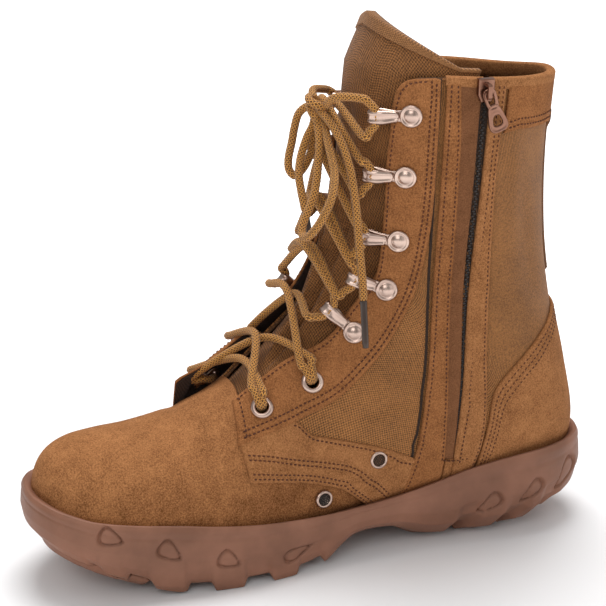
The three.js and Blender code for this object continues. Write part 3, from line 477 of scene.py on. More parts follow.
def tube(name, points, radius, material, slot, sides=14, step=0.5, relief=braid, stands_for=(),
         taper=np.ones_like):
    """A round cord: a profile carried along a smooth curve, closed at both ends. The two directions
    across it turn as little as they can. Gives the piece, its path and its length in metres."""
    rough = along(points, 400)
    length = np.linalg.norm(np.diff(rough, axis=0), axis=1).sum()
    path = along(points, max(8, int(length / step)), fine=60)
    ahead = unit(np.gradient(path, axis=0))
    across = [unit(np.cross(ahead[0], [0.3, 0.2, 1.0]))]
    for way in ahead[1:]:
        across.append(unit(across[-1] - (across[-1] @ way) * way))
    across = np.array(across)
    over = np.cross(ahead, across)
    gone = np.linspace(0, length, len(path))[:, None]
    turn = np.arange(sides) * 2 * np.pi / sides
    size = radius * relief(turn, gone) * taper(gone / length)
    ring = across[:, None] * np.cos(turn)[:, None] + over[:, None] * np.sin(turn)[:, None]
    uv = np.stack(np.broadcast_arrays(turn / (2 * np.pi), gone), -1)
    last = (len(path) - 1) * sides
    caps = [np.arange(sides)[::-1], last + np.arange(sides)]
    piece = make(name, path[:, None] + ring * size[..., None], quads_of(len(path), sides, True),
                 material, uv=uv, caps=caps, stands_for=stands_for)
    return piece, (path + CENTRE) * MM, length * MM


def plain(turn, gone):
    """No relief."""
    return np.ones((len(gone), len(turn)))


def lathe(profile, sides=36):
    """A profile of radius and height turned about w: a grid of rings, closed on the axis."""
    profile = np.asarray(profile, float)
    turn = np.arange(sides) * 2 * np.pi / sides
    return np.stack([profile[:, :1] * np.cos(turn), profile[:, :1] * np.sin(turn),
                     np.repeat(profile[:, 1:], sides, 1)], -1)


def placed(points, seat):
    """Points along a seat's u, v and w, put in their place."""
    origin, u, v, w = seat
    return origin + points[..., :1] * u + points[..., 1:2] * v + points[..., 2:] * w


def seat(s, a, height, drop=0.0, side=None):
    """A small piece's own frame on the skin: u towards the throat, turned down by `drop` degrees,
    w outwards. On the outer facing it follows the flare."""
    origin = on_last(s, a, height)
    w = unit(origin - skin(s, a))
    u = skin(s, a + 2 * np.sign(a)) - skin(s, a)
    u = unit(u - (u @ w) * w)
    turn = math.radians(-np.sign(a) * drop)
    u = u * math.cos(turn) + np.cross(w, u) * math.sin(turn)
    v = np.cross(w, u)
    if side == LATERAL:
        at = [flared(origin + p) for p in (0 * u, u, v)]
        u = unit(at[1] - at[0])
        w = unit(np.cross(u, at[2] - at[0]))
        v = np.cross(w, u)
        origin = at[0]
    return origin, u, v, w


def holder(row, side, height, leaning=True):
    """The seat of the eyelet or hook of one row, a height over the facing, on the flared facing or
    as it was before it flared."""
    _, ring, medial, lateral, drop = HOLDERS[row]
    angle = side * (medial if side == MEDIAL else lateral)
    return seat(ring, angle, FACING + height, drop, side if leaning else None)


# ---------------- materials
def linear(hex_colour):
    """An sRGB hex colour as the linear values that a shader takes."""
    value = np.array([int(hex_colour[i:i + 2], 16) / 255 for i in (0, 2, 4)])
    return (*np.where(value <= 0.04045, value / 12.92, ((value + 0.055) / 1.055) ** 2.4), 1.0)


def add(tree, kind, inputs=None, out=0, **settings):
    """Adds a node: its settings, then its inputs by name or number, each a value or a socket. Gives
    one of its outputs."""
    made = tree.nodes.new("ShaderNode" + kind)
    for key, value in settings.items():
        setattr(made, key, value)
    for key, value in (inputs or {}).items():
        if isinstance(value, bpy.types.NodeSocket):
            tree.links.new(value, made.inputs[key])
        else:
            made.inputs[key].default_value = value
    return made.outputs[out] if made.outputs else None


def blank(name):
    """An empty material and its node tree."""
    made = bpy.data.materials.new(name)
    made.use_nodes = True
    made.node_tree.nodes.clear()
    return made, made.node_tree


def surfaced(made, shader):
    """Gives a material its surface shader, whose constant settings sit on its own sockets."""
    surface = add(made.node_tree, "BsdfPrincipled", shader)
    add(made.node_tree, "OutputMaterial", {"Surface": surface})
    return made


def finished(made, tone, dark, light, rise, strength, depth, shader):
    """The end of every finish: a tone from its dark to its light colour, and a rise as relief.
    Each colour is a hex value or a socket."""
    tree = made.node_tree
    dark, light = (linear(c) if isinstance(c, str) else c for c in (dark, light))
    return surfaced(made, {
        "Base Color": add(tree, "Mix", {0: tone, 6: dark, 7: light}, 2, data_type="RGBA"),
        "Normal": add(tree, "Bump", {"Height": rise, "Strength": strength, "Distance": depth}),
        **shader})


def ripple(tree, where, turn_u, turn_v):
    """The sine of a slanting distance over the cloth, turning so far per unit of its u and v."""
    u, v = (add(tree, "SeparateXYZ", {0: where}, k) for k in (0, 1))
    u = add(tree, "Math", {0: u, 1: turn_u}, operation="MULTIPLY")
    phase = add(tree, "Math", {0: v, 1: turn_v, 2: u}, operation="MULTIPLY_ADD")
    return add(tree, "Math", {0: phase}, operation="SINE")


def suede(name, dark, light, grain=1350.0, rough=0.95, painted_shade_low=0.0):
    """Split leather, sanded to a short nap: light and dark tips, soft patches where the nap lies
    another way, no gloss, and a faint sheen. The grain is drawn at about 1 mm, coarser than a real
    nap, so that it shows. Its last setting is painted shade: it darkens the suede towards the sole,
    where the lower part stands in shade."""
    made, tree = blank(name)
    where = add(tree, "TexCoord", out="Object")
    nap, patch, broad = (
        add(tree, "TexNoise", {"Vector": where, "Scale": scale, "Detail": detail, "Roughness": mix})
        for scale, detail, mix in ((grain, 2.0, 0.75), (110.0, 5.0, 0.65), (22.0, 2.0, 0.5)))
    tone = add(tree, "MapRange", {"Value": nap, "From Min": 0.3, "From Max": 0.7,
                                  "To Min": -0.14, "To Max": 0.56})
    for cloud, share in ((patch, 0.75), (broad, 0.4)):
        tone = add(tree, "Math", {0: cloud, 1: share, 2: tone}, operation="MULTIPLY_ADD")
    # painted shade: the suede is darkened towards the sole
    if painted_shade_low:
        low = add(tree, "MapRange", {"Value": add(tree, "SeparateXYZ", {0: where}, 2),
                                     "From Min": 0.034, "From Max": 0.062,
                                     "To Min": painted_shade_low, "To Max": 0.0})
        tone = add(tree, "Math", {0: tone, 1: low}, operation="SUBTRACT")
    tone = add(tree, "Math", {0: tone, 1: 0.285}, operation="SUBTRACT", use_clamp=True)
    rise = add(tree, "Math", {0: patch, 1: 1.2, 2: nap}, operation="MULTIPLY_ADD")
    return finished(made, tone, dark, light, rise, 0.7, 0.0006, {
        "Roughness": rough, "Sheen Weight": 0.04, "Sheen Roughness": 0.6,
        "Sheen Tint": linear("e0a878"), "Specular IOR Level": 0.1})


def woven(name, dark, light, pitch=1.5, depth=0.6, rough=0.8, slant=0.0):
    """Plain-woven nylon: threads pass over and under one another every half pitch, drawn a little
    coarser than the real cloth so that it shows; the thread tops are painted lighter and the
    hollows between them darker, as painted highlight and painted shade; a low gloss on the thread
    tops."""
    made, tree = blank(name)
    where = add(tree, "UVMap", uv_map="cloth")
    where = add(tree, "Mapping", {0: where, 2: (0, 0, math.radians(slant))})
    object_at = add(tree, "TexCoord", out="Object")
    turn = 2 * math.pi / pitch
    over = add(tree, "Math", {0: ripple(tree, where, turn, 0), 1: ripple(tree, where, 0, turn)},
               operation="MULTIPLY")
    tops = add(tree, "MapRange", {"Value": over, "From Min": -0.7, "From Max": 0.7})
    fibre = add(tree, "TexNoise", {"Vector": object_at, "Scale": 1200.0, "Detail": 2.0})
    cloud = add(tree, "TexNoise", {"Vector": object_at, "Scale": 45.0, "Detail": 4.0})
    tone = add(tree, "Math", {0: fibre, 1: 0.9, 2: -0.45}, operation="MULTIPLY_ADD")
    # painted highlight on the thread tops and painted shade in the hollows between them
    tone = add(tree, "Math", {0: tops, 1: 0.62, 2: tone}, operation="MULTIPLY_ADD")
    tone = add(tree, "Math", {0: cloud, 1: 0.42, 2: tone}, operation="MULTIPLY_ADD", use_clamp=True)
    return finished(made, tone, dark, light, tops, depth, 0.0005, {
        "Roughness": rough, "Sheen Weight": 0.08, "Specular IOR Level": 0.3})


def braided(name, dark, mid, light):
    """A braided polyester lace: strands wind both ways, with darker flecks where tracer threads
    come up. The raised strands are painted light and the hollows between them painted dark, as
    painted highlight and painted shade."""
    made, tree = blank(name)
    where = add(tree, "UVMap", uv_map="cloth")
    waves = [ripple(tree, where, way * 14 * math.pi, 2 * math.pi / BRAID_PITCH) for way in (1, -1)]
    tops, cross = (add(tree, "Math", {0: waves[0], 1: waves[1]}, operation=way)
                   for way in ("MAXIMUM", "MULTIPLY"))
    strands_painted_light_and_shade = add(tree, "MapRange", {"Value": tops, "From Min": 0.1, "From Max": 1.0})
    # painted highlight on the strands' tops, painted shade in the hollows between them
    base = add(tree, "Mix", {0: strands_painted_light_and_shade, 6: linear(dark), 7: linear(light)}, 2, data_type="RGBA")
    fleck = add(tree, "MapRange", {"Value": cross, "From Min": 0.35, "From Max": 0.8})
    return finished(made, fleck, base, mid, tops, 0.6, 0.0003, {
        "Roughness": 0.72, "Sheen Weight": 0.15, "Specular IOR Level": 0.35})


def moulded(name, dark, light, rough, bump_size, strength, scale=900.0, **shader):
    """A moulded or cast surface: nearly one colour, with faint clouding, small pits and uneven
    gloss."""
    made, tree = blank(name)
    where = add(tree, "TexCoord", out="Object")
    cloud = add(tree, "TexNoise", {"Vector": where, "Scale": 45.0, "Detail": 5.0})
    pits = add(tree, "TexNoise", {"Vector": where, "Scale": scale, "Detail": 2.0})
    tone = add(tree, "MapRange", {"Value": cloud, "From Min": 0.3, "From Max": 0.7})
    gloss = add(tree, "MapRange", {"Value": cloud, "To Min": rough - 0.08, "To Max": rough + 0.08})
    return finished(made, tone, dark, light, pits, strength, bump_size,
                    {"Roughness": gloss, **shader})


SUEDE = suede("suede_split_leather", "653d20", "bd8354")
# the vamp's suede, with painted shade darkening it towards the sole
SUEDE_VAMP = suede("suede_vamp_painted_shade", "5e371c", "bb8152", painted_shade_low=0.2)
SUEDE_DARK = suede("suede_facing", "5f381e", "b3784a")
FLAP = suede("smooth_split_leather", "55341f", "8f6040", grain=1800.0, rough=0.85)
NYLON = woven("woven_nylon", "311a0b", "b87c44", pitch=1.8, slant=38)
# a darker copy of the woven nylon for the tongue: painted shade, for the tongue lies in shade in
# the throat
NYLON_SHADED_FOR_TONGUE = woven("woven_nylon_tongue_painted_shade", "2a1608", "a26b39", pitch=1.8, slant=38)
LINING = woven("knitted_lining", "3c2818", "7a5434", pitch=2.6, depth=0.3, rough=0.9)
DRILL = woven("cotton_drill", "1c130e", "48352a", pitch=1.4, depth=0.3, rough=0.9, slant=20)
BINDING = woven("nylon_binding", "4e2f18", "a87546", pitch=1.4, depth=0.3)
WEBBING = woven("nylon_webbing", "4a2f1b", "8a6040", pitch=1.6, depth=0.5)
TAPE = woven("zip_tape", "1c120c", "3a281c", pitch=1.2, depth=0.3)
# the lace's dark colour is painted shade between its strands, its light colour a painted highlight
# on them
LACES = braided("braided_lace", "24120a", "8c531e", "dc9c4a")
THREAD = moulded("sewing_thread", "46200d", "5f3014", 0.85, 0.0002, 0.2)
RUBBER = moulded("moulded_rubber", "78503c", "92644e", 0.55, 0.0003, 0.25, scale=1400.0,
                 **{"Specular IOR Level": 0.35})
NICKEL = moulded("nickel_plated_brass", "b0968a", "d2b9aa", 0.3, 0.0001, 0.08, Metallic=1.0)
PULL_METAL = moulded("antique_brass", "7a5444", "9a7462", 0.32, 0.0001, 0.1, Metallic=1.0)
TEETH = moulded("nylon_zip_teeth", "150d08", "261910", 0.5, 0.0001, 0.1)
AGLET = moulded("acetate_aglet", "2c1f18", "3e2e24", 0.3, 0.0001, 0.1)
FOAM = moulded("foam_footbed", "3a2c22", "4c3b2d", 0.9, 0.0006, 0.5)

# ---------------- camera
scene = bpy.context.scene
azimuth, elevation, distance = math.radians(252.12), math.radians(18.32), 0.9
target = Vector((-0.00092, 0.00332, 0.12674))
back = Vector((math.sin(azimuth) * math.cos(elevation), -math.cos(azimuth) * math.cos(elevation),
               math.sin(elevation)))
lens = bpy.data.cameras.new("camera")
lens.sensor_width = 36.0
lens.lens = 1804.0 / 606.0 * 36.0
camera = bpy.data.objects.new("camera", lens)
camera.location = target + back * distance
camera.rotation_euler = back.to_track_quat("Z", "Y").to_euler()
scene.collection.objects.link(camera)
scene.camera = camera
scene.view_settings.view_transform = "Standard"


# ---------------- the bow
def lace(name, points, **more):
    """A length of the boot's lace."""
    return tube(name, points, LACE / 2, LACES, "lace", **more)


def aglet(word, path, size):
    """A crimped sheath on a lace's end: a tube, a little wider at its mouth than at its tip."""
    end = path[-1] / MM - CENTRE
    ahead = unit(path[-1] - path[-6])
    points = [end + ahead * (size * t - 2) for t in (0, 0.25, 0.5, 0.75, 1)]
    return tube(f"lace_aglet_{word}", points, 1.7, AGLET, "aglet", relief=plain, sides=20,
                stands_for=["lace_aglet"] if word == "medial" else (),
                taper=lambda t: 1.02 - 0.06 * smooth(t * 4) - 0.12 * smooth((t - 0.9) * 10))[0]


KNOT_EYE = [[2, -5.5, 221], [-4, -4.5, 224], [-8.5, -3, 227], [-9.5, 1, 229], [-7, 3.5, 230.5],
            [-3.5, 3, 231.5], [-1, 0.5, 231], [0.5, -2.5, 228.5], [0, -4, 225], [-1.5, -4, 221.5]]
KNOT_WRAP = [[1, 1.5, 227], [-3, 2, 225.5], [-6, 1, 222.5], [-6.5, -2, 220.5], [-3.5, -4.5, 220.5],
             [0.5, -4.5, 222.5], [2, -2, 225.5]]
knot_eye = lace("lace_knot_eye", KNOT_EYE, stands_for=["lace_knot"])[0]
knot_wrap = lace("lace_knot_wrap", KNOT_WRAP)[0]
for name, route, knot, aglet_size, narrow_from, narrow_over in (
        # and, for an end, its aglet's length and where it tapers into it
        ("loop_front", LOOP_FRONT, knot_eye, 0, 0, 1), ("loop_back", LOOP_BACK, knot_wrap, 0, 0, 1),
        ("end_medial", END_MEDIAL, None, 23.0, 0.96, 0.025),
        ("end_lateral", END_LATERAL, None, 12.0, 0.93, 0.04)):
    narrow = 0.25 if aglet_size else 0
    piece, path, length = lace(f"lace_{name}_cord", route, stands_for=[f"lace_{name}"],
                               taper=lambda t: 1 - narrow * smooth((t - narrow_from) / narrow_over))
    carried = knot or aglet(name[4:], path, aglet_size)


# ---------------- laces through the facings
def lace_seat(row, side):
    """Where the lace meets an eyelet or a hook, a little over its metal."""
    return holder(row, side, 0.3 if row < 2 else 0.6)


def middle_point(row_a, row_b, lift):
    """Halfway across the throat between two rows, a height over the tongue."""
    return on_last((HOLDERS[row_a][1] + HOLDERS[row_b][1]) / 2, 179.5, lift)


def turn_round(row, side):
    """The lace's half turn round a hook's neck, from its lower strand to its upper one."""
    spread = 1.0 if side == MEDIAL else 0.62
    local = np.array([[23.0, -9.0, 1.8], [19.5, -6.8, 1.9], [16.8, -3.8, 2.0], [16.0, 0.0, 2.0],
                      [16.8, 3.8, 2.0], [19.5, 6.8, 1.9], [23.0, 9.0, 1.8]])
    return placed(local * np.array([1, side * spread, 1]), lace_seat(row, side))


def into_eyelet(row, side, slide, inside=False, lean=0.0):
    """Over the facing's edge and down into an eyelet, or under the edge and up into it; `lean` is
    how far along the edge it crosses."""
    local = np.array([[13, slide * 2.2 + lean, 2.8], [8.5, slide * 1.8 + lean * 0.8, 4.1],
                      [4.2, slide * 1.2 + lean * 0.4, 3.9], [1.6, slide * 0.9, 1.6],
                      [0.6, slide * 0.6, -2.0], [0.8, slide * 0.5, -6.0]])
    if inside:
        local = np.array([[17, slide * 1.5 + lean, -5.5], [10, slide + lean * 0.6, -6.8],
                          [4.6, slide * 0.6, -6.6], [1.2, slide * 0.4, -4.4], [0.3, 0, -1.0],
                          [0.2, 0, 1.6]])
    return placed(local, lace_seat(row, side))


# each half of the lace goes from a first eyelet to the opposite second one, then from there to the
# hooks, changing sides at every row, up to the knot
for side, name, lift in ((MEDIAL, "inner", 1.9), (LATERAL, "outer", -1.9)):
    lace(f"lace_first_{name}", np.concatenate([
        into_eyelet(0, side, 1, inside=side == LATERAL)[::-1], [middle_point(0, 1, 4.6 + lift)],
        into_eyelet(1, -side, -1, lean=-9 if side == MEDIAL else 0)]),
        stands_for=["lace_crossings"] if side == MEDIAL else ())
    climb = [into_eyelet(1, -side, 1, inside=side == MEDIAL)[::-1]]
    for row in range(2, 7):
        climb += [[middle_point(row - 1, row, 4.4 + lift * (-1) ** (row - 1))],
                  turn_round(row, side * (-1) ** row)]
    near = np.array([side * 4, 4.0, 5.0]) * 0.8
    climb.append([(climb[-1][-1] + KNOT) / 2 + near, KNOT + np.array([side * 4.5, -1.5, 0.5])])
    lace(f"lace_climb_{name}", np.concatenate(climb))
bar_a, bar_b = into_eyelet(0, MEDIAL, -1), into_eyelet(0, LATERAL, -1, lean=2)
lace("lace_bar", np.concatenate([bar_a[1:][::-1], [middle_point(0, 0, 4.0)], bar_b[1:]]))

# ---------------- hooks, eyelets and vents
DISC = [(0.01, 2.15), (0.9, 2.1), (1.8, 1.92), (2.6, 1.6), (3.2, 1.18), (3.5, 0.98), (3.8, 0.95),
        (4.1, 1.1), (4.5, 1.32), (4.9, 1.32), (5.25, 1.12), (5.4, 0.8), (5.4, 0.35), (5.2, 0.05),
        (4.0, 0.0), (0.01, 0.0)]
EYELET = [(3.1, -3.3), (3.1, 0.9), (3.25, 1.25), (3.6, 1.5), (4.2, 1.5), (4.9, 1.25), (5.4, 0.8),
          (5.6, 0.35), (5.6, 0.0), (3.9, -0.1), (3.7, -2.8), (5.2, -2.8), (5.3, -3.1), (4.2, -3.5)]
VENT = [(0.01, 0.35), (3.1, 0.35), (3.2, 1.0), (3.45, 1.3), (3.9, 1.35), (4.4, 1.05), (4.65, 0.5),
        (4.65, -0.2), (0.01, -0.2)]


def strap_section(width, ridge, thick=1.1, count=13):
    """The closed section across a metal strip: a flat back, and a face with two ridges."""
    v = np.linspace(-0.5, 0.5, count)
    edge = np.sqrt(np.clip(1 - (np.abs(v) * 2) ** 8, 0, 1))
    face = thick / 2 * edge + ridge * (np.exp(-((np.abs(v) - 0.3) / 0.09) ** 2))
    return np.stack([np.concatenate([v, v[::-1]]) * width,
                     np.concatenate([face, (-thick / 2 * edge)[::-1]])], -1)


def hook_arm():
    """The hook's strip: out from its disc, narrow at the neck, wide at the fold and back over
    itself as a lip. A section carried along a bent path in u and w, pitched up by 7 degrees."""
    bend, reach, lip, level = 2.5, 19.5, 14.0, 0.55
    out = np.stack([np.linspace(2.5, reach - bend, 22), np.full(22, level)], -1)
    angle = np.radians(np.linspace(-90, 90, 15))[1:-1]
    fold = np.stack([reach - bend + bend * np.cos(angle), level + bend + bend * np.sin(angle)], -1)
    back_at = np.linspace(reach - bend, reach - lip, 14)
    over = np.stack([back_at, level + 2 * bend - 2.9 * smooth((reach - 5 - back_at) / 9)], -1)
    path = np.concatenate([out, fold, over])
    gone = travelled(path)
    to_tip = gone - gone[-1]
    width = 5.4 + 1.4 * smooth((gone - 5.5) / 6) + 0.8 * (1 - smooth(gone / 4))
    width = width * (1 - 0.22 * smooth((to_tip + 9) / 9)) * np.sqrt(
        np.clip(1 - np.clip((to_tip + 0.8) / 0.82, 0, 1) ** 2.5, 0.2, 1))
    section = np.array([strap_section(w, ridge)
                        for w, ridge in zip(width, 0.42 * smooth((gone - 9) / 4))])
    ahead = unit(np.gradient(path, axis=0))
    u = path[:, :1] + ahead[:, 1:] * section[..., 1]
    w = path[:, 1:] - ahead[:, :1] * section[..., 1]
    sin, cos = math.sin(math.radians(7)), math.cos(math.radians(7))
    return np.stack([u * cos + w * sin, section[..., 0], w * cos - u * sin], -1)


def joined(name, grids, at, material, stands_for=()):
    """Several closed grids, each wrapped round its columns and capped, as one piece."""
    quads, caps, base = [], [], 0
    for rows, columns in (grid.shape[:2] for grid in grids):
        quads.append(quads_of(rows, columns, wrap=True) + base)
        caps += [base + np.arange(columns)[::-1], base + (rows - 1) * columns + np.arange(columns)]
        base += rows * columns
    return make(name, placed(np.concatenate([grid.reshape(-1, 3) for grid in grids]), at),
                np.concatenate(quads), material, caps=caps, stands_for=stands_for)


arm, ring = hook_arm()[:, ::-1], lathe(EYELET)
ring_quads = quads_of(len(ring) + 1, 36, wrap=True) % (len(ring) * 36)
for row, (name, *_) in enumerate(HOLDERS):
    for word, side in SIDES.items():
        node = name.format(word)
        if row < 2:
            make(f"{node}_metal", placed(ring, holder(row, side, 0.15)), ring_quads, NICKEL,
                 stands_for=[node])
        else:
            joined(f"{node}_metal", [lathe(DISC), arm], holder(row, side, 0.35), NICKEL, [node])

# each vent has a mesh of round wires behind its rim
turn = np.arange(6) * math.pi / 3
wire_round = np.stack([np.cos(turn), np.zeros(6), np.sin(turn)], -1) * 0.2
for name, s, angle in VENTS:
    at = seat(s, angle, 0.9)
    joined(f"vent_{name}_metal", [lathe(VENT)], at, NICKEL, [f"vent_{name}"])
    wires = []
    for k in np.arange(-3, 4) * 0.85:
        t = np.linspace(-1, 1, 5) * math.sqrt(3.1 ** 2 - k ** 2)
        wire = np.stack([np.full(5, k), t, np.full(5, 0.75)], -1)[:, None] + wire_round
        wires += [wire, wire[..., [1, 0, 2]]]
    joined(f"vent_{name}_mesh", wires, at, TEETH)


# ---------------- the upper
def eyelet_seats(side):
    """Where the eyelets' holes go through the wall, before the facing leans open."""
    return [holder(row, side, 0.0, leaning=False) for row in (0, 1)]


def shell(name, high, low, material, inset, groove=0.0, stands_for=()):
    """The upper's own wall from the vamp to the collar: a sheet round the last, open at the throat,
    between two heights, with a groove for the piping."""
    s = np.linspace(6.9, COLLAR, 150)
    left, right = (throat_angle(s, side, inset)[:, None] for side in (MEDIAL, LATERAL))
    A = left + (right - left) * np.linspace(0, 1, 170)
    S = np.broadcast_to(s[:, None], A.shape)
    off = (A - np.interp(S, *seam_line.T) - 1.5) * 0.75
    high = high - groove * np.exp(-((off / 1.5) ** 2)) * (A < 0) * smooth(S - 11)
    outer, base = dressed(S, A, high), skin(S, A)
    across = travelled(base, 1)
    return sheet(name, outer, dressed(S, A, low), material,
                 uv=np.stack([across - across[:, [85]], travelled(base)], -1),
                 keep=clear_of(outer, eyelet_seats(MEDIAL) + eyelet_seats(LATERAL), 4.2),
                 stands_for=stands_for)


PIPING = [(-36, 27), (-40, 38.5), (-43.5, 49.5), (-46, 61), (-48, 77), (-49.7, 96), (-50.4, 115.5),
          (-50.6, 155), (-50.3, 195), (-50.8, 232), (-51, 244)]
seam_line = side_line(PIPING, MEDIAL, 200)
shell("quarters", 0.0, -1.0, NYLON, 1.2, groove=1.4, stands_for=["upper"])
shell("lining", -1.15, -2.3, LINING, 0.6)

# the vamp: one piece of suede over the toes, running back under the side straps
turn = np.linspace(-180, 180, 200)
ends = np.interp(np.abs(turn), [0, 60, 65, 96.5, 107, 121, 180],
                 [10.5, 10.5, 10.45, 9.5, 8.5, 7.3, 7.3])
S = 0.02 + (ends - 0.02) * np.linspace(0, 1, 150)[:, None] ** 1.25
outer, inner = dressed(S, turn, 0.15), dressed(S, turn, -1.8)
for face, above in ((outer, 7.0), (inner, 8.5)):
    face[..., 2] = np.maximum(face[..., 2], look_up(SOLE, face[..., 1])[..., 4] + above)
sheet("vamp", outer[:, :-1], inner[:, :-1], SUEDE_VAMP, wrap=True)

# facings: from the front corner along the lower edge, and along the throat
FACING_LINE = [(48.7, 67.8), (38, 71), (27, 74), (16, 77.3), (-5, 86), (-23, 102.5), (-35.5, 121.5),
               (-44.3, 142), (-48.2, 165), (-49.3, 185), (-49.7, 210), (-50, 243.8)]
THROAT_RINGS = np.array([7.12, 7.5, 8.25, 9.2, 10.5, 12.2, 13.3, 14.7, 17, 18.4, 19, 19.3, 19.5,
                         19.65, 19.8, 19.9, 19.96, 20])
for word, side in SIDES.items():
    facing, bend = f"facing_{word}_suede", flared if side == LATERAL else unbent
    lower = side_line(FACING_LINE, side, 230)
    throat = along(np.stack([THROAT_RINGS, throat_angle(THROAT_RINGS, side)], -1), 230)
    panel(facing, lower, throat, 1.8, SUEDE_DARK, low=0.3, bend=bend, step=1.5,
          holes=eyelet_seats(side), stands_for=[f"facing_{word}"], troughs=[(2.6, 0.3), (5.4, 0.3)],
          near=[0, 0.15, 0.4, 0.9, 1.6, 2.1, 2.6, 3.1, 4, 4.9, 5.4, 5.9, 6.8])
    panel(f"facing_{word}_lining", lower + np.array([0, side * 0.6]),
          throat - np.array([0, side * 0.4]), 0.6, DRILL, low=-0.35, bend=bend,
          holes=eyelet_seats(side), near=EDGE[:5])
    for distance in (2.6, 5.4):
        stitch(inset_line(facing, distance, start=3, stop=-3), FACING - 0.1, word, bend)
    stitch(inset_line(facing, 2.6, from_b=True, start=3, stop=-6), FACING + 0.05, word, bend)
    front = lower[5] + (throat[5] - lower[5]) * np.linspace(0.08, 0.92, 20)[:, None]
    stitch(front, FACING + 0.05, word, bend)

# the lower quarter's suede, the side straps and the heel counter
LOWER_TOP = [(48, 69), (34, 73.5), (24, 76.5), (18.5, 76.5), (15, 73.2), (11, 69.3), (4, 67),
             (-6, 64), (-16.5, 60.8), (-24.5, 58.2), (-33, 54.8), (-43.6, 49.7)]
LOWER_FOOT = [(46, 59), (35, 57), (19, 53.5), (4.5, 50), (-7, 45.5), (-17, 38), (-26, 30),
              (-36, 27)]
STRAP_TOP = [(47, 65.8), (34.5, 64.3), (18.5, 60), (2.5, 56), (-9.5, 52), (-21, 44.5), (-33, 32)]
STRAP_FOOT = [(45, 51.7), (35.3, 50.2), (19, 46.8), (7.5, 43.6), (-4, 39), (-13, 32.3), (-24, 22)]
COUNTER_LINE = [(-77.5, 36), (-80.7, 52.7), (-83, 65.2), (-84, 76), (-86.5, 84.3), (-92.8, 91.7),
                (-103.4, 102), (-114, 111), (-121.5, 118)]
for word, side in SIDES.items():
    quarter, strap = f"lower_quarter_{word}", f"side_strap_{word}"
    panel(quarter, side_line(LOWER_TOP, side, 160), side_line(LOWER_FOOT, side, 160), 1.5,
          SUEDE, round_ends=(True, False), step=2.0, troughs=[(2.2, 0.3)])
    stitch(inset_line(quarter, 2.2, start=46, stop=-3), 1.35, word)
    panel(strap, side_line(STRAP_TOP, side, 120), side_line(STRAP_FOOT, side, 120), 1.6,
          SUEDE, low=0.4, step=1.2, troughs=[(1.9, 0.3), (4.2, 0.3)],
          near=[0, 0.15, 0.4, 0.9, 1.4, 1.9, 2.4, 3.0, 3.7, 4.2, 4.7])
    for distance in (1.9, 4.2):
        stitch(inset_line(strap, distance, start=2, stop=-3), 1.85, word)
        stitch(inset_line(strap, distance, from_b=True, start=2, stop=-3), 2.0, word)
counter_side = side_line(COUNTER_LINE, MEDIAL, 60)
counter_top = along(np.concatenate([counter_side, [(16.95, -18), (17.05, 0), (16.95, 18)],
                                    mirrored(counter_side)[::-1]]), 240, fine=12)
foot_side = ring_at([-80, -95, -110, -124, -134], [36, 38, 39, 40, 41], MEDIAL)
counter_foot = along(np.concatenate([foot_side, [(14.5, 0)], mirrored(foot_side)[::-1]]), 240)
panel("heel_counter_suede", counter_top, counter_foot, 1.6, SUEDE, low=0.25, step=2.0,
      stands_for=["heel_counter"], troughs=[(2.2, 0.25), (4.8, 0.25), (7.4, 0.25)],
      near=[0, 0.15, 0.4, 0.9, 1.6, 2.2, 2.8, 3.6, 4.2, 4.8, 5.4, 6.2, 6.8, 7.4, 8, 9])


def stitch_both_sides(name, distances, height, middle):
    """Rows along a panel that runs round the back, the first half on the inner side."""
    for distance in distances:
        line = inset_line(name, distance, start=2, stop=-2)
        stitch(line[:middle], height, "medial")
        stitch(line[middle:], height, "lateral")


stitch_both_sides("heel_counter_suede", (2.2, 4.8, 7.4), 1.6, 118)

# the zip: a strip and a smooth flap in front of it, a strip behind it, and its teeth between
ZIP = np.array([(-64, 31), (-64.6, 45), (-65.2, 55), (-66.5, 71), (-67.4, 90), (-67.4, 114),
                (-67.3, 136), (-67.8, 157), (-68.7, 176), (-69.7, 195), (-70.4, 212), (-71.4, 230),
                (-72.3, 243)])
OPEN = np.interp(ZIP[:, 1], [52, 70, 120, 180, 225], [0.1, 0.45, 1.0, 1.8, 2.3])
FLAP_FRONT = [(-59, 31), (-60, 55), (-60.4, 80), (-60.1, 105), (-60, 130), (-60.3, 155),
              (-60.4, 185), (-60.4, 215), (-59.2, 243.5)]
REAR = [(-75, 36), (-77.3, 43), (-79.9, 53), (-81.2, 65.5), (-81, 80), (-80, 100), (-79.3, 126.5),
        (-78.7, 146.5), (-78.6, 175), (-79.2, 199.5), (-80.6, 218), (-82.2, 242)]
before_zip, behind_zip = (side_line(np.stack([ZIP[:, 0] + way * OPEN, ZIP[:, 1]], -1), MEDIAL, 220)
                          for way in (1, -1))
flap_front, rear_line = (side_line(line, MEDIAL, 220) for line in (FLAP_FRONT, REAR))
strip_line = [(y - 1.7 * smooth((z - 90) / 120), z) for y, z in PIPING]
panel("zip_flap", flap_front[17:] + np.array([0, -1.6]), before_zip[17:], 1.2, FLAP,
      low=0.2, step=2.0)
panel("zip_foot", flap_front[:19] + np.array([0, 1.2]), behind_zip[:19], 1.6, SUEDE,
      low=0.25, step=2.0)
panel("zip_strip_front", side_line(strip_line, MEDIAL, 220), flap_front, 1.7, SUEDE_DARK,
      low=0.3, step=2.0, troughs=[(2.2, 0.25)])
panel("zip_strip_rear", behind_zip, rear_line, 1.9, SUEDE, low=0.3, step=1.6,
      swell=lambda p: 0.5 * smooth((p[..., 2] - 60) / 60) * np.exp(-(((p[..., 1] + 71) / 3) ** 2)))
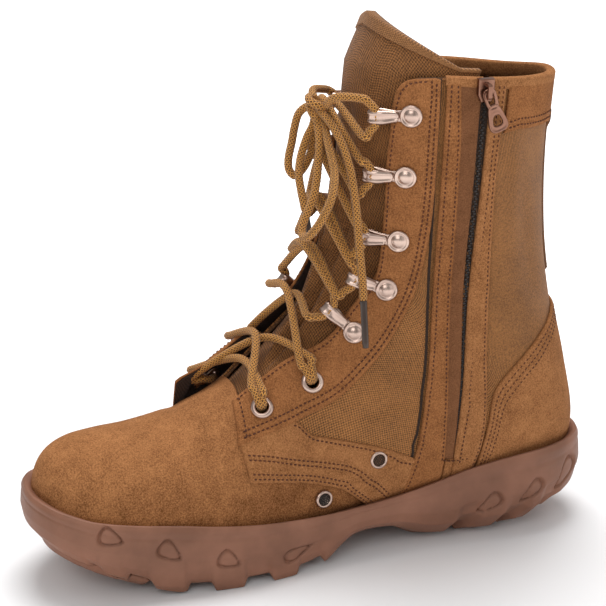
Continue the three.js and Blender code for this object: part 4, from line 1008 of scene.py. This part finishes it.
for strip, distance, from_b, start, height in (
        ("front", 2.2, False, 4, 1.8), ("front", 1.7, True, 18, 1.95),
        ("rear", 3.4, False, 14, 2.2), ("rear", 1.9, True, 8, 2.1)):
    stitch(inset_line(f"zip_strip_{strip}", distance, from_b, start, -2), height, "medial")
foot_line = side_line([(-58.3, 47.5), (-62.8, 46.5), (-68, 46.4), (-73, 46.6)], MEDIAL, 40)
stitch(foot_line, 2.0, "medial")
zip_line = side_line(ZIP[2:], MEDIAL, 200)
panel("zip_tape", zip_line + np.array([0, -5.0]), zip_line + np.array([0, 5.0]), 0.4, TAPE,
      low=-0.4, stands_for=["zip_teeth"])

# its teeth: boxes wider at their feet, shifted to one side and the other in turn
TEETH_COUNT = 150
tooth_at = along(zip_line, TEETH_COUNT)
place, normal = dressed(*tooth_at.T, 0.25), outward(*tooth_at.T)
ahead = unit(np.gradient(place, axis=0))
across = np.cross(ahead, normal)
shift = np.where(np.arange(TEETH_COUNT) % 2, 0.35, -0.35)[:, None]
teeth = np.stack([place + ahead * k + normal * w + across * (shift + way * width)
                  for k in (-0.38, 0.38) for w, width in ((-0.4, 0.9), (0.35, 0.65))
                  for way in (-1, 1)], 1)
box = np.array([[0, 1, 3, 2], [4, 6, 7, 5], [0, 4, 5, 1], [2, 3, 7, 6], [0, 2, 6, 4], [1, 5, 7, 3]])
make("zip_coil", teeth, (box + (np.arange(TEETH_COUNT) * 8)[:, None, None]).reshape(-1, 4), TEETH,
     smooth_faces=False)
# the piping: a dark cord along the groove, partly the real piping and partly a dark line painted in
# for the shadow of the gap beside it
piping_line = along(seam_line[12:] + np.array([0, -1.3]), 60)
tube("quarter_piping_and_painted_shadow", dressed(*piping_line.T, -0.2), 0.7, TAPE, CLOTH_SLOT, sides=10, relief=plain,
     step=2.0)

# the collar: a suede band round its outside, rolled over the rim
band_angle = np.linspace(-75.5, 103, 180)
band_foot = np.interp(np.abs(band_angle), [0, 35, 66, 80, 103], [19.36, 19.36, 19.25, 19.1, 19.0])
panel("collar_band", np.stack([band_foot, band_angle], -1),
      np.stack([np.full(180, COLLAR), band_angle], -1), 1.5, SUEDE_DARK, low=0.2, step=2.0,
      round_ends=(False, False), troughs=[(2.0, 0.25), (4.4, 0.25)])
stitch_both_sides("collar_band", (2.0, 4.4), 1.55, 78)


def rim_roll(name, start, stop, high):
    """The folded edge on the rim: half an ellipse from the outside to the inside, carried round
    the collar."""
    a = np.linspace(start, stop, 140)[:, None]
    theta = np.linspace(0, np.pi, 12)
    height = high + (-2.9 - high) * (1 - np.cos(theta)) / 2
    top = dressed(COLLAR, a, height) + np.array([0, 0, 1.5]) * np.sin(theta)[:, None]
    outer = np.concatenate([dressed(COLLAR - 0.12, a, high - 0.05), top,
                            dressed(COLLAR - 0.35, a, -2.85)], 1)
    return sheet(name, outer, dressed(COLLAR - 0.2, a, np.linspace(high - 0.6, -2.3, 14)), SUEDE)


rim_roll("collar_rim", -86, 104, 1.85)
rim_roll("collar_rim_front", -108.5, -90, 2.0)


def strap_edge(x):
    """Up the back at x from the centre line."""
    rings = np.linspace(13, 20, 300)
    ring = np.interp(np.linspace(134, 222, 90), read_rows(LAST, rings)[:, 1], rings)
    half = read_rows(LAST, ring)[:, 4 if x < 0 else 5]
    return np.stack([ring, np.degrees(np.arcsin(x / half))], -1)


# the webbing strap up the back, with a folded tab
panel("back_strap_webbing", strap_edge(-10.0), strap_edge(10.0), 1.3, WEBBING, low=0.3,
      step=1.5, stands_for=["back_strap"],
      swell=lambda p: 1.5 * np.exp(-((p[..., 2] - 216) / 5.0) ** 4))

# ---------------- the tongue
TONGUE_FOOT = 5.6
TONGUE_OUT = WALL + 1.4  # how deep inside the skin its outer face lies
REACH = np.array([
    # ring, degrees to the inner side, degrees to the outer side
    [5.6, 26, 26], [7, 34, 34], [9, 42, 42], [12, 56, 56], [15, 66, 62], [18, 76, 70], [20, 90, 80],
])
TONGUE_FOLDS = [
    # where across and up, slope, half width, half length, depth
    [-0.30, 0.31, 0.7, 0.060, 0.11, -5.0], [-0.15, 0.33, 0.5, 0.075, 0.12, 3.0],
    [0.04, 0.36, 0.5, 0.060, 0.11, -4.6], [-0.47, 0.40, 0.2, 0.080, 0.13, 2.2],
    [-0.33, 0.50, -0.4, 0.070, 0.10, -4.0], [-0.12, 0.53, -0.3, 0.090, 0.13, 1.8],
    [0.22, 0.47, -0.5, 0.080, 0.13, 1.8], [-0.2, 0.70, 0.6, 0.100, 0.12, -1.5],
    [0.36, 0.62, 0.3, 0.080, 0.16, -1.4],
]


def tongue_face(t, v, depth):
    """The tongue: inside the last's skin up the throat, then on past the collar, highest at its
    middle and leaning back, with soft folds as bells across slanting lines of its two measures."""
    s = TONGUE_FOOT + (COLLAR + 1 - TONGUE_FOOT) * t
    ring = np.minimum(s, COLLAR)
    reach = look_up(REACH, ring)
    turn = np.where(v < 0, v * reach[..., 1], v * reach[..., 2])
    off = np.minimum(1, np.abs(turn) / 78)
    higher = (s - ring) * 24 * (1 - 0.86 * np.where(turn > 0, off, off ** 1.45))
    fold = 0
    for across, up, slope, wide, long, rise in TONGUE_FOLDS:
        off = (v - across - slope * (t - up)) / wide
        fold = fold + rise * np.exp(-off ** 2 - ((t - up) / long) ** 4)
    point = on_last(ring, np.where(v < 0, -180 - turn, 180 - turn), -depth)
    point = point + higher[..., None] * np.array([0, -0.42, 1.0])
    return point + fold[..., None] * np.array([0, 1, 0.35])


t, v = np.meshgrid(np.linspace(0, 1, 170), np.linspace(-1, 1, 90), indexing="ij")
away = np.minimum((1 - np.abs(v)) * 40, (1 - t) * 45)
thin = 1.5 * (1 - np.sqrt(1 - (1 - np.clip(away / 2.0, 0, 1)) ** 2))
outer = tongue_face(t, v, TONGUE_OUT + thin)
wide = travelled(outer, 1)
# the tongue wears the darker copy of the nylon, as painted shade
sheet("tongue_nylon", outer, tongue_face(t, v, TONGUE_OUT + 3.0 - thin), NYLON_SHADED_FOR_TONGUE,
      uv=np.stack([wide - wide[:, [45]], travelled(outer)], -1), stands_for=["tongue"])

# its binding: a tape folded over the top edge
t, v = np.meshgrid(1 - np.linspace(5.5, 0, 10) / 24 / 15.4, np.linspace(-0.985, 0.985, 120),
                   indexing="ij")
outer, inner = (tongue_face(t, v, TONGUE_OUT + deep) for deep in (-0.55, 3.5))
for face in (outer, inner):
    face[-1] += np.array([0, -0.25, 0.6])
sheet("tongue_binding", outer, inner, BINDING, uv=np.stack([v * 60, t * 370], -1))

# ---------------- the outsole
WINDOWS = [
    # y, z, half length, half height, tip direction in y and z, on both sides of the sole
    (115.6, 35.2, 6.0, 3.9, -1, -0.45), (87.5, 25.0, 6.6, 3.9, -1, -0.9),
    (58.2, 16.5, 6.0, 4.0, -1, -0.6), (21.8, 13.0, 7.8, 2.9, -1, 0.3),
    (-84.5, 20.0, 7.4, 3.7, 1, -0.7), (-108, 24.0, 8.0, 3.4, 1, -0.95),
    (-130.5, 28.5, 9.5, 4.2, 1, -1.25),
]
SHARES, INSETS = [0, 0.1, 0.3, 0.55, 0.85, 1], [9, 4.5, 1, 0, 0.6, 2]
SOLE_MIDDLE, SOLE_HALF = 1.5, 149.5


def tread_rise(y):
    """The depth of the channels across the tread, each with sloping sides."""
    rise = np.zeros_like(y)
    for start, stop, depth in CHANNELS:
        half, middle = (start - stop) / 2, (start + stop) / 2
        slope = 2.2 if middle > 0 else 4.5
        rise = np.maximum(rise, depth * smooth((half + slope - np.abs(y - middle)) / (slope + 0.4)))
    return rise


def window_shape(y, z):
    """How deep the wall is sunk at y and z: tapered rounded windows with a raised middle, each
    framed by a groove."""
    sink = np.zeros_like(y)
    for at_y, at_z, half, high, tip_y, tip_z in WINDOWS:
        size = math.hypot(tip_y, tip_z)
        tip_y, tip_z = tip_y / size, tip_z / size
        u = ((y - at_y) * tip_y + (z - at_z) * tip_z) / half
        v = (-(y - at_y) * tip_z + (z - at_z) * tip_y) / (high * np.clip(1 - 0.62 * u, 0.1, 2))
        f = (np.abs(u) ** 2.4 + np.abs(v) ** 2.4) ** (1 / 2.4)
        groove = 1.9 * np.exp(-(((f - 0.93) / 0.1) ** 2))
        sink = np.maximum(sink, 0.6 * smooth((1 - f) / 0.08) + groove)
    return sink


def sole_wall(t, side, share, extra=0.0):
    """A point of the sole's side: along its length by a cosine, in from its plan by the share of
    the height, with round ends."""
    y = SOLE_MIDDLE + SOLE_HALF * np.cos(np.pi * t)
    row = look_up(SOLE, y)
    start, end, power = (np.where(y > 0, *pair) for pair in ((82, -98), (151, -148), (2.4, 2.1)))
    beyond = np.clip((y - start) / (end - start), 0, 1)
    inset = np.interp(share, SHARES, INSETS) * np.where(share < 0.5, row[..., 6], 1) + extra
    half = np.where(side == MEDIAL, row[..., 1], row[..., 2]) - inset
    tread = np.maximum(0, row[..., 4])
    rise = tread_rise(y) * np.clip(1 - share / np.where(y > 0, 0.35, 0.7), 0, 1)
    return np.stack([row[..., 3] + side * half * (1 - beyond ** power) ** (1 / power),
                     y + (SOLE_MIDDLE - y) * inset / SOLE_HALF,
                     tread + (row[..., 5] - tread) * share + rise], -1)


# the wall: round the inner side from the toe to the heel, and back along the outer side
HALF_ROUND = 520
ROUND = 2 * HALF_ROUND
half_t = np.arange(HALF_ROUND) / HALF_ROUND
t = np.concatenate([half_t, 1 - half_t])
side = np.repeat([MEDIAL, LATERAL], HALF_ROUND)
H = np.concatenate([[0, 0.02], np.linspace(0.05, 0.97, 52), [0.99, 1.0]])[:, None]
wall = sole_wall(*np.broadcast_arrays(t, side, H))
flat = np.roll(wall, -1, 1) - np.roll(wall, 1, 1)
flat[..., 2] = 0
away = unit(np.cross(flat, [0, 0, 1.0]))
away *= np.sign((away[..., 0] * (wall[..., 0] + 2) + away[..., 1] * wall[..., 1]).sum())
y, z = wall[..., 1], wall[..., 2]
flutes = 1.1 / 4.5 * tread_rise(y) * smooth((0.62 - H) / 0.3)
rim, line_under = (np.exp(-(((H - level) / wide) ** 2))
                   for level, wide in ((0.93, 0.05), (0.83, 0.03)))
sculpt = 0.5 * rim - 0.35 * line_under - flutes - window_shape(y, z) * smooth(H / 0.1)
wall = wall + away * sculpt[..., None]

# inside its rim the wall turns down to a floor, whose cells run across between the two sides
rim_in, deep, floor_loop = (sole_wall(t, side, np.full(ROUND, share), extra)
                            for share, extra in ((1.0, 1.6), (0.9, 6.0), (0.3, 9.0)))
rim_in[:, 2] -= 0.4
loops = np.concatenate([wall, rim_in[None], deep[None], floor_loop[None]])
rows = len(loops)
i = np.arange(1, HALF_ROUND - 1)
floor_cells = (rows - 1) * ROUND + np.stack([i, i + 1, ROUND - i - 1, ROUND - i], 1)

# the tread: the same lowest loop on both sides, filled by a grid whose channels run across
LANES = 30
lane = np.linspace(0, 1, LANES)[:, None]
from_side = np.minimum(lane, 1 - lane)
inner_side, outer_side = wall[0, :HALF_ROUND], wall[0, -np.arange(HALF_ROUND) % ROUND]
tread = inner_side + (outer_side - inner_side) * lane[..., None]
x, y = tread[..., 0], tread[..., 1]
core = smooth(from_side * 16) * smooth((y - 92) / 8)
tread[..., 2] += core * np.minimum(0, np.maximum(0, look_up(SOLE, y)[..., 4] - 1.5) - tread[..., 2])
groove = 4.0 * smooth((4.2 - np.abs(x)) / 1.4) * smooth((y - 8) / 4) * smooth((116 - y) / 4)
slant = 1.6 * smooth((np.cos((np.abs(x) * 0.9 + y) * 2 * np.pi / 15) - 0.78) / 0.15)
lift = np.maximum(groove, slant * (tread[..., 2] < 3)) * smooth(from_side * 12)
tread[..., 2] += np.maximum(0, lift - tread_rise(y)) * (lift > 0)
outsole = make("outsole_rubber", np.concatenate([loops.reshape(-1, 3), tread.reshape(-1, 3)]),
               np.concatenate([quads_of(rows, ROUND, wrap=True), floor_cells,
                               quads_of(LANES, HALF_ROUND) + rows * ROUND]), RUBBER,
               stands_for=["outsole"])
outsole.modifiers.new("weld", "WELD").merge_threshold = 0.00002

# ---------------- carried-over metal and footbed
for name, look in (("insole", FOAM), ("zip_slider", PULL_METAL)):
    held = frame["nodes"][name]
    held.data.materials.clear()
    held.data.materials.append(look)

# ---------------- the zip's pull tab
PLATE = np.array([(0, -0.5), (0, 0.5), (0.14, 0.72), (0.32, 0.55), (0.7, 0.55), (0.86, 0.8),
                  (0.96, 0.68), (1, 0.35), (1, -0.35), (0.96, -0.68), (0.86, -0.8), (0.7, -0.55),
                  (0.32, -0.55), (0.14, -0.72)])


def plate(outline, slot):
    """A flat ring of metal between a closed outline and a closed slot, its rims raised: rings run
    from the slot's wall over the face, round the outer edge and back over the other face."""
    flat = slot[:, None] + (outline - slot)[:, None] * PLATE[:, :1]
    return np.concatenate([flat, np.broadcast_to(PLATE[:, 1:], flat.shape[:2] + (1,))], -1)


def oval(top, foot, half_top, half_foot, power):
    """A closed line round a superellipse between two heights, wider at its foot than its top."""
    turn = np.linspace(0, 2 * np.pi, 72, endpoint=False)
    down, over = (np.sign(x) * np.abs(x) ** (2 / power) for x in (-np.cos(turn), np.sin(turn)))
    half = half_top + (half_foot - half_top) * smooth((down + 1) / 2)
    return np.stack([(top + foot) / 2 + (foot - top) / 2 * down, half * over], -1)


hung = on_last(19.78, -89.5, 0.3)
out = unit(hung - skin(19.78, -89.5))
down = unit(np.array([0, 0, -1.0]) + out[2] * out)
across = np.cross(out, down)
sin, cos = math.sin(math.radians(20)), math.cos(math.radians(20))
pull_seat = (hung + 5.8 * out, down * cos + across * sin, across * cos - down * sin, out)
plates = np.stack([plate(oval(-1.3, 9.5, 3.4, 3.0, 3.5), oval(0.8, 7.4, 2.0, 1.5, 3.5)),
                   plate(oval(6.6, 21, 3.2, 5.3, 3.2), oval(12.4, 17.8, 2.0, 2.7, 3.0))])
plate_quads = quads_of(73, len(PLATE), wrap=True) % (72 * len(PLATE))
make("zip_pull_tab", placed(plates, pull_seat),
     np.concatenate([plate_quads, plate_quads + 72 * len(PLATE)]), PULL_METAL,
     body="pull", stands_for=["zip_pull"])
for word in SIDES:
    stitches(word, THREAD)

# ---------------- floor and light
# the floor lies a little under the tread, and glows more and more away from the boot
floor_mesh = bpy.data.meshes.new("floor")
floor_mesh.from_pydata([(x, y, -0.0004) for x, y in ((-3, -3), (3, -3), (3, 3), (-3, 3))], [],
                       [(0, 1, 2, 3)])
floor = bpy.data.objects.new("floor", floor_mesh)
scene.collection.objects.link(floor)
floor_look, floor_tree = blank("pale_floor")
off = add(floor_tree, "VectorMath", {0: add(floor_tree, "TexCoord", out="Object")}, "Value",
          operation="LENGTH")
floor_mesh.materials.append(surfaced(floor_look, {
    "Base Color": linear("efeff0"), "Roughness": 0.7, "Specular IOR Level": 0.1,
    "Emission Color": (1.0, 1.0, 1.0, 1.0), "Emission Strength": add(floor_tree, "MapRange", {
        "Value": off, "From Min": 0.12, "From Max": 0.55, "To Max": 0.7})}))

# the studio: white behind the boot, and a soft grey dome that is brightest overhead
world = bpy.data.worlds.new("studio")
scene.world = world
world.use_nodes = True
sky = world.node_tree
sky.nodes.clear()
height = add(sky, "SeparateXYZ", {0: add(sky, "TexCoord", out="Generated")}, 2)
dome = add(sky, "MapRange", {"Value": height, "To Min": 0.22, "To Max": 0.55})
level = add(sky, "Mix", {0: add(sky, "LightPath", out="Is Camera Ray"), 2: dome, 3: 1.0},
            data_type="FLOAT")
add(sky, "OutputWorld", {"Surface": add(sky, "Background", {"Color": (1, 1, 1, 1),
                                                             "Strength": level})})
for name, place, size, power, aim in (
        ("overhead", (0.4, -0.1, 1.7), 1.0, 26, 0.1), ("side", (-1.3, 0.8, 1.1), 0.9, 7, 0.1),
        ("fill", (-1.3, -1.2, 0.8), 1.2, 4, 0.12)):
    softbox = bpy.data.lights.new(name, "AREA")
    softbox.size, softbox.energy = size, power
    lamp = bpy.data.objects.new(name, softbox)
    lamp.location = place
    lamp.rotation_euler = (Vector(place) - Vector((0, 0, aim))).to_track_quat("Z", "Y").to_euler()
    scene.collection.objects.link(lamp)
